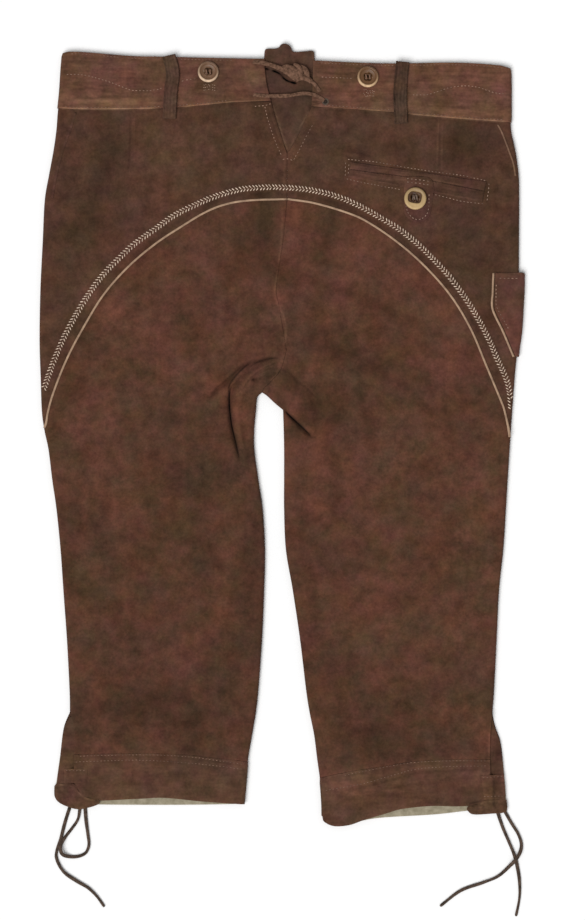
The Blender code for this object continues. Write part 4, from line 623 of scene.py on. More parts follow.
WAIST_LINE_LEFT, WAIST_LINE_RIGHT = seam(WAIST_SEAM_LEFT, OUTER_LEFT), seam(WAIST_SEAM_RIGHT, OUTER_RIGHT)
ARCH_LINE_LEFT, ARCH_LINE_RIGHT = seam(ARCH_LEFT, OUTER_LEFT), seam(ARCH_RIGHT, OUTER_RIGHT)
KNEE_LINE_LEFT, KNEE_LINE_RIGHT = seam(KNEE_SEAM_LEFT, INNER_LEFT), seam(KNEE_SEAM_RIGHT, INNER_RIGHT)
HEM_LINE_LEFT, HEM_LINE_RIGHT = seam(HEM_BACK_LEFT, INNER_LEFT), seam(HEM_BACK_RIGHT, INNER_RIGHT)
KNEE_FRONT_LEFT = [UNDERLAP_LEFT[-1], (150, 756.5), fold_at(INNER_LEFT, KNEE_TOP_LEFT)]
KNEE_FRONT_RIGHT = [fold_at(INNER_RIGHT, KNEE_TOP_RIGHT), (398, 764), UNDERLAP_RIGHT[-1]]


def closed(places, step):
    """A smooth closed outline through some places."""
    return smooth(places + places[:1], step)[:-1]


def outline(*runs):
    """One closed outline from runs that meet end to end."""
    points = np.vstack(runs)
    apart = np.linalg.norm(points - np.roll(points, 1, axis=0), axis=1)
    return points[apart > LEAST_APART]


def signed_area(loop):
    """Area of a loop, positive where it runs clockwise as seen on the board."""
    after = np.roll(loop, -1, axis=0)
    return 0.5 * float(np.sum(loop[:, 0] * after[:, 1] - after[:, 0] * loop[:, 1]))


def inset(loop, by):
    """The loop drawn in by a distance, with its corners kept."""
    loop = loop if signed_area(loop) > 0 else loop[::-1]
    inward = right_of(unit(np.roll(loop, -1, axis=0) - loop))
    before = np.roll(inward, 1, axis=0)
    spread = np.maximum(1.0 + np.sum(inward * before, axis=1), LEAST_CORNER)
    return loop + by * (inward + before) / spread[:, None]


def beside(line, by):
    """A line beside another, to the right of its run where by is positive."""
    aside = right_of(unit(np.diff(line, axis=0)))
    before, after = aside[[0, *range(len(aside))]], aside[[*range(len(aside)), -1]]
    spread = np.maximum(1.0 + np.sum(before * after, axis=1), LEAST_BEND)
    return line + by * (before + after) / spread[:, None]


def strip(line, width, step):
    """The outline of a strip of even width along a smooth line."""
    middle = smooth(line, step)
    return np.vstack([beside(middle, width / 2), beside(middle, -width / 2)[::-1]])


def in_blocks(points, measure):
    """Measure many points a block at a time."""
    blocks = [measure(points[k : k + BLOCK]) for k in range(0, max(len(points), 1), BLOCK)]
    return [np.concatenate(part) for part in zip(*blocks)]


def nearest(points, line):
    """Distance to a line, the nearest place on it, how far along it is, and the side it is on."""
    a, b = line[:-1], line[1:]
    run = b - a
    length = np.maximum(np.linalg.norm(run, axis=1), 1e-9)
    start = np.concatenate([[0.0], np.cumsum(length)])

    def measure(block):
        gap = block[:, None, :] - a[None]
        t = np.clip(np.sum(gap * run, axis=2) / length**2, 0.0, 1.0)
        foot = a + t[..., None] * run
        away = np.linalg.norm(block[:, None, :] - foot, axis=2)
        pick = np.argmin(away, axis=1)
        rows = np.arange(len(block))
        cross = run[pick, 0] * gap[rows, pick, 1] - run[pick, 1] * gap[rows, pick, 0]
        along = (start[pick] + t[rows, pick] * length[pick]) / start[-1]
        return away[rows, pick], foot[rows, pick], along, np.sign(cross)

    return in_blocks(points, measure)


def inside(points, loop):
    """Which points lie inside a closed loop."""
    x0, y0 = loop.T
    x1, y1 = np.roll(loop, -1, axis=0).T
    level = np.where(y1 == y0, 1e-9, y1 - y0)

    def measure(block):
        x, y = block[:, :1], block[:, 1:]
        crossed = ((y0 > y) != (y1 > y)) & (x < x0 + (y - y0) * (x1 - x0) / level)
        return (np.sum(crossed, axis=1) % 2 == 1,)

    return in_blocks(points, measure)[0]


# ---------------------------------------------------------------- the laid form


def ease(t):
    """0 below 0, 1 above 1, and smooth between."""
    t = np.clip(t, 0.0, 1.0)
    return t * t * (3.0 - 2.0 * t)


def bell(away, width):
    """1 at no distance, falling smoothly to 0 over about twice a width."""
    return np.exp(-((away / width) ** 2))


def fold_distance(points):
    """Distance to the nearest fold, and the direction that points out over it."""
    found = [nearest(points, line)[:2] for line in FOLDS]
    away = np.stack([f[0] for f in found])
    pick = np.argmin(away, axis=0)
    rows = np.arange(len(points))
    foot = np.stack([f[1] for f in found])[pick, rows]
    out = (foot - points) / np.maximum(away[pick, rows], 1e-6)[:, None]
    return np.maximum(away[pick, rows] - SEAM / 2, 0.0), out


# ---------------------------------------------------------------- rows of sewing and seams


EMBROIDERY = smooth(ARCH_EMBROIDERY, 3.0)


def part_of(line, start, stop):
    """The middle stretch of a line, from one share of its length to another."""
    line = spaced(line, 1.0)
    return line[round(start * (len(line) - 1)) : round(stop * (len(line) - 1)) + 1]


def sewing_groups():
    """Every row of sewing: piece name, thread and its rows."""
    band_edges = (
        (smooth(BAND_TOP_LEFT, ALONG), 2.2, 0.04, 0.96),
        (smooth(BAND_TOP_RIGHT, ALONG), 2.2, 0.02, 0.97),
        (WAIST_LINE_LEFT, -2.0, 0.04, 0.99),
        (WAIST_LINE_RIGHT, -2.0, 0.02, 0.96),
    )
    band_edges = [part_of(beside(line, by), start, stop) for line, by, start, stop in band_edges]
    pocket = (POCKET_ROW_TOP, POCKET_ROW_FOOT_LEFT, POCKET_ROW_FOOT_RIGHT, *POCKET_ROW_SIDES)
    return (
        ("waistband_sewing", "rose", (WAVE_LEFT, WAVE_LEFT_END, WAVE_RIGHT, BAND_ROW_RIGHT)),
        ("waistband_edge_sewing", "faint", band_edges),
        ("gusset_sewing", "rose", (V_ROW_LEFT, V_ROW_RIGHT, V_FOOT_ROW, BAND_CORNER_ROW)),
        ("pocket_sewing", "light", (*pocket, TAB_ROW, *TAB_ROWS_TOP)),
        ("side_pocket_sewing", "rose", SIDE_POCKET_ROWS),
        ("knee_band_sewing", "faint", (*KNEE_ROWS_LEFT, *KNEE_ROWS_RIGHT, *LACE_TAB_ROWS)),
    )


SEWING = sewing_groups()

# Seams that pucker the hide beside them: line, distance, reach, pitch, height
PUCKERS = [
    (smooth(line, 4.0), *look)
    for line, *look in (
        ([fold_at(OUTER_LEFT, ARCH_END_LEFT), *ARCH_LEFT[1:]], 4.0, 4.0, 9.0, 0.20),
        ([*ARCH_RIGHT[:-1], fold_at(OUTER_RIGHT, ARCH_END_RIGHT)], 4.0, 4.0, 9.0, 0.20),
        (CENTRE_BACK, 2.6, 3.0, 10.0, 0.22),
        ([fold_at(OUTER_LEFT, WAIST_END_LEFT), *WAIST_SEAM_LEFT[1:]], 3.0, 3.4, 7.5, 0.20),
        ([*WAIST_SEAM_RIGHT[:-1], fold_at(OUTER_RIGHT, WAIST_END_RIGHT)], 3.0, 3.4, 7.5, 0.20),
        (KNEE_ROWS_LEFT[0], 3.0, 3.2, 8.0, 0.18),
        (KNEE_ROWS_RIGHT[1], 3.0, 3.2, 8.0, 0.18),
        (V_LEFT, 2.6, 2.6, 6.5, 0.16),
        (V_RIGHT, 2.6, 2.6, 6.5, 0.16),
        (BAND_TOP_LEFT, 2.6, 2.6, 8.0, 0.14),
        (BAND_TOP_RIGHT, 2.6, 2.6, 8.0, 0.14),
    )
]
ROUTES = [(*row[:5], smooth(row[5], 3.0)) for row in CREASES + FINE_CREASES]
RUBBED_AND_SHADED = [(*row[:2], smooth(row[2], 4.0)) for row in RUBBED_AND_SHADED_EDGES]
GROOVES = [smooth(row, 3.0) for _, _, rows in SEWING for row in rows]


def near_line(points, line, reach):
    """Which points may lie within reach of a line, by its box, and what nearest says of them."""
    low, high = line.min(axis=0) - reach, line.max(axis=0) + reach
    near = np.flatnonzero(np.all((points > low) & (points < high), axis=1))
    return (near, *nearest(points[near], line))


def crease_rise(points):
    """What the creases add to the height of the back, and their painted shade in the troughs and painted
    highlight on the ridges and raised lines.
    """
    rise, shade = np.zeros(len(points)), np.zeros(len(points))
    for depth, width, ridge, side, ridge_width, line in ROUTES:
        near, away, _, along, sign = near_line(points, line, 3.0 * width + 3.0 * ridge_width)
        fade = ease(4.0 * np.minimum(along, 1.0 - along) + 0.12)
        trough = fade * bell(away, width)
        off_crest = (away * sign * side - 1.3 * width - 0.6 * ridge_width) / ridge_width
        crest = fade * np.exp(-(off_crest**2) * 2.0)
        rise[near] += ridge * crest - depth * trough
        painted_crease_light = 0.45 * depth  # a route with depth below 0 is a raised line, with a painted highlight
        # painted shade in the trough, darker where the crease is narrower
        if depth > 0:
            painted_crease_light = 0.13 * min(depth, 2.2) * (1.0 + 2.6 * bell(width, 1.3))
        shade[near] += 0.06 * ridge * crest - painted_crease_light * trough
    return rise, shade


def swell_rise(points):
    """What the broad swells and hollows add."""
    rise = np.zeros(len(points))
    for *place, height in SWELLS:
        rise += height * patch(points, *place)
    return rise


def patch(points, right, down, length, width, turn):
    """A soft oval about a place: 1 at its middle, falling to 0."""
    c, s = math.cos(math.radians(turn)), math.sin(math.radians(turn))
    dx, dy = points[:, 0] - right, points[:, 1] - down
    along, across = (dx * c + dy * s) / length, (dy * c - dx * s) / width
    return np.exp(-(along**2 + across**2))


def ripple(points, wave, seed, count=14):
    """A smooth uneven field of about the given wavelength, from -1 to 1."""
    pick = np.random.default_rng(seed)
    total = np.zeros(len(points))
    for _ in range(count):
        turn, phase = pick.uniform(0, 2 * math.pi, 2)
        size = 2 * math.pi / (wave * pick.uniform(0.7, 1.5))
        total += np.sin(size * (points[:, 0] * math.cos(turn) + points[:, 1] * math.sin(turn)) + phase)
    return total / math.sqrt(2.0 * count)


def pucker_rise(points):
    """Small puckers beside the seams, uneven along them."""
    rise = np.zeros(len(points))
    for line, offset, reach, pitch, height in PUCKERS:
        near, away, foot, along, _ = near_line(points, line, 3.0 * reach)
        run = along * float(np.sum(np.linalg.norm(np.diff(line, axis=0), axis=1)))
        wave = np.sin(2 * math.pi * run / pitch + 1.8 * ripple(foot, 4.0 * pitch, 5))
        uneven = 0.6 + 0.4 * ripple(foot, 6.0 * pitch, 7)
        near_seam = bell(away - offset, reach) * ease(away / 1.2)
        rise[near] += height * wave * uneven * near_seam
    return rise


def sewn_rise(points):
    """The shallow grooves that rows of sewing pull into the hide, and the embroidery's raised bed."""
    rise = np.zeros(len(points))
    for line in GROOVES:
        near, away, _, along, _ = near_line(points, line, 5.0)
        fade = ease(12.0 * np.minimum(along, 1.0 - along))
        rise[near] -= fade * (0.34 * bell(away, 1.3) - 0.10 * bell(away - 3.0, 1.6))
    near, away, *_ = near_line(points, EMBROIDERY, 12.0)
    rise[near] += 0.28 * np.exp(-((away / 3.0) ** 4)) - 0.30 * bell(away - 4.6, 1.2)
    return rise


def back_height(points):
    """Height of the back's upper face, and the shade of its creases."""
    away = fold_distance(points)[0]
    start, stop = SETTLED_FROM
    rise, shade = crease_rise(points)
    rise = rise + swell_rise(points)
    level = LAID - SETTLED * ease((away - start) / (stop - start))
    broad = 0.42 * ripple(points, 70.0, 1) + 0.24 * ripple(points, 26.0, 2) + 0.10 * ripple(points, 10.0, 3)
    sewn = pucker_rise(points) + sewn_rise(points)
    fine = broad * ease((away - 3.0) / 14.0) + sewn * ease((away - 0.6) / 3.0)
    height = np.maximum(level + rise * ease((away - 2.0) / 8.0), LEAST_HEIGHT) + fine
    return np.maximum(height, LEAST_HEIGHT - 0.2), shade * ease(away / 3.0)


def lifted(points, z, shade=None):
    """Places lifted to a height, directions straight up, and shade."""
    upright = np.tile([0.0, 0.0, 1.0], (len(points), 1))
    return np.column_stack([points, z]), upright, np.zeros(len(points)) if shade is None else shade


def fold_turn(points):
    """How far the hide has turned up from the nearest fold, and the level way out over the fold."""
    away, out = fold_distance(points)
    turn = np.arccos(np.clip(1.0 - away / FOLD_RADIUS, 0.0, 1.0))
    return turn, out * np.cos(turn)[:, None]


def back_form(points):
    """The back's upper face, turning down round the folds: places, outward directions and shade."""
    turn, out = fold_turn(points)
    height, shade = back_height(points)
    low = FOLD_RADIUS + SEAM / 2
    z = low + (height - low) * np.sin(turn)
    return np.column_stack([points, z]), np.column_stack([out, np.sin(turn)]), shade


def front_form(points):
    """The front's lower face, turning up round the folds."""
    turn, out = fold_turn(points)
    z = (FOLD_RADIUS - SEAM / 2) * (1.0 - np.sin(turn))
    return np.column_stack([points, z]), np.column_stack([out, -np.sin(turn)]), np.zeros(len(points))


def side_pocket_form(points):
    """The back under the side pocket, whose lip rolls down past the fold."""
    lip = smooth(SIDE_POCKET_LIP, 6.0)
    top, shade = back_height(points)
    radius = LAID - FOLD_RADIUS + SEAM + HIDE
    straight = 0.8
    away = np.maximum(np.interp(points[:, 1], lip[:, 1], lip[:, 0]) - points[:, 0] - SEAM / 2, 0.0)
    turn = np.arccos(np.clip(1.0 - (away - straight) / (radius - straight), 0.0, 1.0))
    edge = points[:, 0] + away
    reach = radius - HIDE - SEAM
    rolled, hanging = away < radius, away < straight
    x = np.where(rolled, edge - radius + reach * np.cos(turn), points[:, 0])
    drop = np.clip(1.0 - away / straight, 0.0, 1.0) * (FOLD_RADIUS - SEAM)
    crown = top - LAID + FOLD_RADIUS
    z = np.where(rolled, crown + reach * np.sin(turn) - drop, top)
    z = np.where(hanging, FOLD_RADIUS - drop, z)
    way_x = np.where(rolled, np.cos(turn), 0.0)
    way_z = np.where(hanging, 0.0, np.where(rolled, np.sin(turn), 1.0))
    return np.column_stack([x, points[:, 1], z]), np.column_stack([way_x, np.zeros(len(x)), way_z]), shade


def gusset_form(points):
    """The gusset lies level under the back, a little wavy."""
    return lifted(points, LAID + 0.25 * ripple(points, 12.0, 21))


def underlay_form(points):
    """The underlay lies on the inside of the front."""
    return lifted(points, np.full(len(points), DOUBLE_HIDE + SEAM))


# ---------------------------------------------------------------- finishes


class Finish:
    """A material whose shader takes its colour and fine relief from nodes."""

    def __init__(self, name, roughness, sheen=0.0, specular=0.15, coat=0.0):
        self.material = bpy.data.materials.new(name)
        self.material.use_nodes = True
        self.tree = self.material.node_tree
        self.sockets = self.tree.nodes["Principled BSDF"].inputs
        for socket, value in (
            ("Roughness", roughness),
            ("Sheen Weight", sheen),
            ("Sheen Roughness", 0.5),
            ("Specular IOR Level", specular),
            ("Coat Weight", coat),
            ("Coat Roughness", 0.2),
        ):
            self.sockets[socket].default_value = value

    def feed(self, socket, value):
        """Link a node's output to a socket, or set a plain value on it."""
        if hasattr(value, "links"):
            self.tree.links.new(value, socket)
        else:
            socket.default_value = value

    def add(self, kind, inputs=(), **settings):
        """The outputs of a new node."""
        node = self.tree.nodes.new(kind)
        for setting, value in settings.items():
            setattr(node, setting, value)
        for socket, value in dict(inputs).items():
            self.feed(node.inputs[socket], value)
        return node.outputs

    def place(self):
        """The place on the piece."""
        return self.add("ShaderNodeTexCoord")["Object"]

    def moved(self, place, **by):
        """A place that is moved, turned or scaled."""
        return self.add("ShaderNodeMapping", {"Vector": place, **by})[0]

    def stored(self, name):
        """A value that the mesh holds at each point."""
        return self.add("ShaderNodeAttribute", attribute_name=name)["Fac"]

    def noise(self, place, scale, detail=3.0, rough=0.55):
        """A noise field's value at a place."""
        inputs = {"Vector": place, "Scale": scale, "Detail": detail, "Roughness": rough}
        return self.add("ShaderNodeTexNoise", inputs)["Fac"]

    def ramp(self, value, low, high, to_low, to_high):
        """A value from one range mapped to another."""
        inputs = {"Value": value, "From Min": low, "From Max": high, "To Min": to_low, "To Max": to_high}
        return self.add("ShaderNodeMapRange", inputs)["Result"]

    def uneven(self, by, place, *noise):
        """A factor that wanders about 1 by so much."""
        return self.ramp(self.noise(place, *noise), 0.3, 0.7, 1.0 - by, 1.0 + by)

    def join(self, kind, value, *others):
        """A value with others in turn: their sum, product and the like."""
        for other in others:
            value = self.add("ShaderNodeMath", {0: value, 1: other}, operation=kind)[0]
        return value

    def mix(self, factor, one, other, kind="MIX"):
        """Two colours blended by a factor."""
        one, other = (c if hasattr(c, "links") else (*c, 1.0) for c in (one, other))
        inputs = {"Factor": factor, 6: one, 7: other}
        return self.add("ShaderNodeMix", inputs, data_type="RGBA", blend_type=kind)[2]

    def done(self, colour, relief=None, strength=0.4, distance=0.0):
        """The material, with its colour and fine relief."""
        self.feed(self.sockets["Base Color"], colour)
        if relief is not None:
            bump = self.add("ShaderNodeBump", {"Height": relief, "Strength": strength, "Distance": distance})
            self.feed(self.sockets["Normal"], bump[0])
        return self.material


def hide_finish(name, olive, red, nap=0.17, brushing=0.0):
    """Suede: olive and red brown clouds, the worn places and the painted shade and highlight that the tone
    carries, brushed nap and pores.
    """
    made = Finish(name, 0.95, sheen=0.03, specular=0.05)
    place, tone = made.place(), made.stored("tone")
    clouds = made.ramp(made.noise(place, 36.0, 5.0, 0.66), 0.33, 0.67, 0.0, 1.0)
    ruddy = made.join("ADD", clouds, made.join("MULTIPLY", made.stored("red"), 0.38))
    colour = made.mix(made.join("MAXIMUM", made.join("MINIMUM", ruddy, 1.15), -0.1), olive, red)
    value = made.join(
        "MULTIPLY",
        made.uneven(0.31, place, 85.0, 5.0, 0.64),
        made.uneven(nap, place, 430.0, 4.0, 0.66),
        made.uneven(0.14, place, 13.0, 2.0),
        made.join("ADD", tone, 1.0),
    )
    if brushing:
        drawn_out = made.moved(place, Scale=(0.16, 1.0, 1.0), Rotation=(0, 0, 0.03))
        value = made.join("MULTIPLY", value, made.uneven(brushing, drawn_out, 260.0, 3.0, 0.6))
    elsewhere = made.moved(place, Location=(3.1, 1.7, 0.4))
    golden = made.ramp(made.noise(elsewhere, 38.0, 4.0, 0.6), 0.32, 0.68, 1.13, 0.87)
    channels = {"Red": value, "Green": value, "Blue": made.join("MULTIPLY", value, golden)}
    wear_and_painted_light = made.mix(1.0, colour, made.add("ShaderNodeCombineColor", channels)[0], "MULTIPLY")
    dusty = made.mix(made.ramp(tone, 0.45, 1.95, 0.0, 0.25), wear_and_painted_light, DUST)
    brushed = made.moved(place, Scale=(1.0, 0.45, 1.0), Rotation=(0, 0, 0.5))
    pores = made.join("MULTIPLY", made.noise(brushed, 900.0, 3.0, 0.65), 0.6)
    return made.done(dusty, made.join("ADD", pores, made.noise(place, 240.0)), 0.35, 0.0004)


def plain_finish(name, dark, light, scale, roughness, rise=0.0002, specular=0.3, sheen=0.0):
    """A leather, thread or lining whose colour wanders between two tones."""
    made = Finish(name, roughness, sheen, specular)
    place = made.place()
    clouds = made.ramp(made.noise(place, scale, 4.0, 0.6), 0.3, 0.7, 0.0, 1.0)
    return made.done(made.mix(clouds, dark, light), made.noise(place, 4.0 * scale), 0.4, rise)


def horn_finish(name, rim, middle, dark, streaked=0.45):
    """Horn: a light rim, shown where the tone paints it lit as a highlight, a darker middle and streaks across,
    softly polished.
    """
    made = Finish(name, 0.42, specular=0.22, coat=0.06)
    streaks = made.moved(made.place(), Scale=(1.0, 0.3, 1.0), Rotation=(0, 0, 0.9))
    cloud = made.ramp(made.noise(streaks, 420.0, 4.0, 0.6), 0.32, 0.68, 0.0, 1.0)
    turned = made.mix(made.stored("tone"), middle, rim)
    return made.done(made.mix(made.join("MULTIPLY", cloud, streaked), turned, dark))


DUST = (0.30, 0.19, 0.15)
NAP = 0.153  # nap brushed flatter than the body's
FLAT_NAP = 0.136
SUEDE = hide_finish("suede_finish", (0.0630, 0.0348, 0.0189), (0.0990, 0.0372, 0.0242))
YOKE = hide_finish("suede_yoke_finish", (0.0640, 0.0358, 0.0202), (0.0830, 0.0350, 0.0232))
BAND = hide_finish("suede_band_finish", (0.098, 0.054, 0.029), (0.117, 0.047, 0.033), NAP, 0.20)
KNEE_BAND = hide_finish("suede_knee_band_finish", (0.080, 0.0460, 0.0250), (0.096, 0.0410, 0.0275), NAP, 0.10)
WELT = hide_finish("suede_welt_finish", (0.066, 0.0365, 0.0215), (0.086, 0.0355, 0.0265), NAP, 0.14)
EDGING = hide_finish("suede_edging_finish", (0.150, 0.088, 0.054), (0.180, 0.100, 0.066), FLAT_NAP)
DARK = hide_finish("suede_dark_finish", (0.062, 0.0385, 0.0230), (0.074, 0.0350, 0.0240), NAP)
SHADED = hide_finish("suede_gusset_finish", (0.060, 0.0365, 0.0215), (0.078, 0.0350, 0.0245), NAP)
POCKET = hide_finish("suede_pocket_finish", (0.082, 0.044, 0.026), (0.104, 0.040, 0.030), FLAT_NAP)
INSIDE = plain_finish(
    "hide_inside_finish", (0.225, 0.195, 0.130), (0.37, 0.325, 0.235), 180.0, 0.95, sheen=0.2, specular=0.1
)
TAN = plain_finish("piping_finish", (0.235, 0.142, 0.090), (0.43, 0.283, 0.180), 160.0, 0.6)
LACE = plain_finish("lace_finish", (0.026, 0.018, 0.013), (0.114, 0.075, 0.055), 260.0, 0.8, specular=0.1)
TIE = plain_finish("tie_finish", (0.058, 0.031, 0.019), (0.2, 0.108, 0.071), 420.0, 0.9, 0.0006, specular=0.05)
THREAD_CREAM = plain_finish("embroidery_thread", (0.24, 0.155, 0.108), (1.0, 0.80, 0.63), 560.0, 0.6)
THREADS = {
    "rose": plain_finish("sewing_thread", (0.090, 0.050, 0.036), (0.43, 0.265, 0.190), 75.0, 0.7),
    "faint": plain_finish("faint_thread", (0.085, 0.045, 0.032), (0.27, 0.155, 0.108), 75.0, 0.7),
    "light": plain_finish("light_sewing_thread", (0.10, 0.058, 0.042), (0.50, 0.33, 0.245), 90.0, 0.7),
}
THREAD_BARS = plain_finish("bar_thread", (0.10, 0.055, 0.038), (0.46, 0.30, 0.21), 260.0, 0.7)
THREAD_GREY = plain_finish("button_thread", (0.070, 0.045, 0.032), (0.19, 0.13, 0.098), 500.0, 0.7)
THREAD_DARK = plain_finish("dark_thread", (0.150, 0.080, 0.048), (0.34, 0.19, 0.125), 500.0, 0.7)
HORN_LEFT = horn_finish("horn_left_finish", (0.80, 0.57, 0.39), (0.160, 0.082, 0.045), (0.060, 0.036, 0.016))
HORN_RIGHT = horn_finish("horn_right_finish", (0.74, 0.50, 0.29), (0.128, 0.060, 0.025), (0.085, 0.040, 0.016))
# its near-black middle fills the square recess: partly the horn's own dark brown, partly painted shade in the
# recess
HORN_LIGHT = horn_finish(
    "horn_pocket_finish", (0.53, 0.37, 0.180), (0.040, 0.015, 0.008), (0.23, 0.125, 0.045), 0.28
)
EYELET_FINISH = plain_finish("eyelet_finish", (0.046, 0.031, 0.022), (0.120, 0.086, 0.062), 500.0, 0.7)
HOLE_SHADE_FINISH = plain_finish("hole_shade_finish", (0.012, 0.008, 0.006), (0.03, 0.02, 0.015), 500.0, 0.9)


# ---------------------------------------------------------------- shells of hide

SHELLS = []


def to_world(points):
    """Board millimetres with a height, as metres from the origin."""
    x = (points[:, 0] - BOARD_MIDDLE[0]) * MM
    y = (BOARD_MIDDLE[1] - points[:, 1]) * MM
    return np.column_stack([x, y, points[:, 2] * MM])


def placed(name, data, place=(0.0, 0.0, 0.0)):
    """An object in the scene, at a place in metres."""
    made = bpy.data.objects.new(name, data)
    made.location = place
    bpy.context.scene.collection.objects.link(made)
    return made


def put(name, mesh, finish, slot, place=(0.0, 0.0, 0.0)):
    """Put a mesh in the scene as a piece of the garment."""
    for one in finish if isinstance(finish, tuple) else (finish,):
        mesh.materials.append(one)
    piece = placed(name, mesh, place)
    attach(piece, "root")
    return piece


def sewable(piece, node=None):
    """Let a piece stand in the place of its CAD node, and carry the sewing that falls on it."""
    if node:
        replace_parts(piece, node)
    SHELLS.append(piece)
    return piece


def closed_mesh(name, points, polygons, sharp=None, values=(), inner=None):
    """A smooth mesh from board millimetres, its faces turned outwards, with the values of its points."""
    mesh = bpy.data.meshes.new(name)
    mesh.from_pydata(to_world(points).tolist(), [], polygons)
    for label, numbers in dict(values).items():
        mesh.attributes.new(label, "FLOAT", "POINT").data.foreach_set("value", numbers.astype(np.float32))
    if inner is not None:
        mesh.polygons.foreach_set("material_index", np.array(inner, np.int32))
    work = bmesh.new()
    work.from_mesh(mesh)
    bmesh.ops.delete(work, geom=[v for v in work.verts if not v.link_faces], context="VERTS")
    bmesh.ops.recalc_face_normals(work, faces=work.faces)
    work.to_mesh(mesh)
    work.free()
    mesh.shade_smooth()
    if sharp:
        mesh.set_sharp_from_angle(angle=math.radians(sharp))
    return mesh


def circle(sides):
    """Angles round a circle."""
    return np.linspace(0.0, 2 * math.pi, sides, endpoint=False)


def tube_faces(rings, sides):
    """The wall of a tube whose rings of points follow one another."""
    faces = []
    for k in range(0, (rings - 1) * sides, sides):
        for j in range(sides):
            n = (j + 1) % sides
            faces.append((k + j, k + n, k + sides + n, k + sides + j))
    return faces


def crossing(row, loop):
    """The runs of a row that lie inside a loop, each reaching just over its edge."""
    row = np.asarray(row, float)
    along = run_along(row)
    fine = np.linspace(0.0, along[-1], max(2, round(along[-1] / CROSSING_STEP)))
    within = inside(on_line(row, along, fine), loop)
    marks = np.flatnonzero(np.diff(np.concatenate([[False], within, [False]]).astype(int)))
    runs = []
    for start, stop in zip(marks[::2], marks[1::2]):
        low, high = fine[max(start - 1, 0)], fine[min(stop, len(fine) - 1)]
        own = along[(along > low + LEAST_STRETCH) & (along < high - LEAST_STRETCH)]
        if high - low > LEAST_STRETCH:
            runs.append(on_line(row, along, np.concatenate([[low], own, [high]])))
    return runs


def fold_rows(loop):
    """Rows of points beside each fold, inside a loop."""
    rows = []
    for line in FOLDS:
        for angle in RING_ANGLES:
            by = FOLD_RADIUS * (1.0 - math.cos(math.radians(angle))) + SEAM / 2
            rows += [beside(line, by), beside(line, -by)]
    return [piece for row in rows for piece in crossing(row, loop)]


def clear_of(points, kept, least):
    """The points that lie at least so far from all the kept ones."""
    if not len(points):
        return points
    tree = KDTree(len(kept))
    for k, (x, y) in enumerate(kept):
        tree.insert((x, y, 0.0), k)
    tree.balance()
    return points[[tree.find((x, y, 0.0))[2] > least for x, y in points]]


def rows_beside(line, step, offsets):
    """Points on lines at some distances to the sides of a line."""
    middle = spaced(line, step)
    return np.vstack([beside(middle, by) for by in offsets])


def crease_points(loop):
    """Points across each crease, its ridge and each groove of sewing, finer where it is narrower."""
    groups = []
    for _, width, _, side, ridge_width, line in ROUTES:
        step = min(2.6, 1.2 * width)
        offsets = [-1.7 * width, -0.85 * width, 0.0, 0.85 * width, 1.7 * width]
        offsets.append(side * (1.3 * width + 0.6 * ridge_width))
        groups.append((rows_beside(line, step, offsets), 0.55 * min(step, 0.85 * width)))
    for _, width, line in RUBBED_AND_SHADED:
        offsets = [by * width for by in (0.0, -0.8, 0.8, -1.8, 1.8)]
        groups.append((rows_beside(line, SEWN_STEP, offsets), 0.5))
    for line in GROOVES:
        groups.append((rows_beside(line, SEWN_STEP, (0.0, -1.2, 1.2, -2.6, 2.6)), 0.7))
    offsets = (0, -2.2, 2.2, -3.6, 3.6, -4.6, 4.6, -6.0, 6.0)
    groups.append((rows_beside(EMBROIDERY, SEWN_STEP, offsets), 0.7))
    low, high = loop.min(axis=0), loop.max(axis=0)
    kept = []
    for points, least in groups:
        points = points[np.all((points > low) & (points < high), axis=1)]
        points = points[inside(points, loop)]
        if len(points) and kept:
            points = clear_of(points, np.vstack(kept), least)
        if len(points):
            kept.append(points)
    return np.vstack(kept) if kept else np.zeros((0, 2))


def filled(loop, rows, free, step):
    """Triangles over a loop whose edges follow it and the rows: points and faces."""
    edge = np.vstack([loop, loop[:1]])
    kept = np.vstack([loop] + rows)
    for by in EDGE_RINGS:
        ring = inset(loop, by)
        ring = ring[inside(ring, loop)]
        ring = ring[nearest(ring, edge)[0] > 0.9 * by]
        kept = np.vstack([kept, clear_of(ring, kept, 0.6 * EDGE_RINGS[0])])
    if len(free):
        free = free[nearest(free, edge)[0] > 0.7]
        kept = np.vstack([kept, clear_of(free, kept, 0.6)])
    low, high = loop.min(axis=0), loop.max(axis=0)
    row_step = step * math.sqrt(0.75)
    across, down = np.meshgrid(np.arange(low[0], high[0], step), np.arange(low[1], high[1], row_step))
    across[1::2] += step / 2
    spots = np.column_stack([across.ravel(), down.ravel()])
    spots = clear_of(spots[inside(spots, loop)], kept, 0.62 * step)
    spots = spots[nearest(spots, edge)[0] > 0.45 * step]
    edges = [(k, (k + 1) % len(loop)) for k in range(len(loop))]
    count = len(loop)
    for row in rows:
        edges += [(count + k, count + k + 1) for k in range(len(row) - 1)]
        count += len(row)
    flat = [tuple(map(float, p)) for p in np.vstack([kept, spots])]
    found, _, faces, _, _, _ = delaunay_2d_cdt(flat, edges, [], 1, 0.01)
    return np.array([tuple(p) for p in found]), faces


def off_fold_runs(loop):
    """The stretches of a loop that are cut or sewn edges, not folds."""
    on_fold = fold_distance(loop)[0] < 0.6
    if not on_fold.any():
        return [np.vstack([loop, loop[:1]])]
    start = int(np.flatnonzero(on_fold)[0])
    points, flags = np.roll(loop, -start, axis=0), np.roll(on_fold, -start)
    points, flags = np.vstack([points, points[:1]]), np.append(flags, flags[0])
    runs, run = [], []
    for k, flag in enumerate(flags):
        if not flag:
            run = run or [points[k - 1]]
            run.append(points[k])
        elif run:
            runs.append(np.array(run + [points[k]]))
            run = []
    return runs + ([np.array(run)] if len(run) > 1 else [])


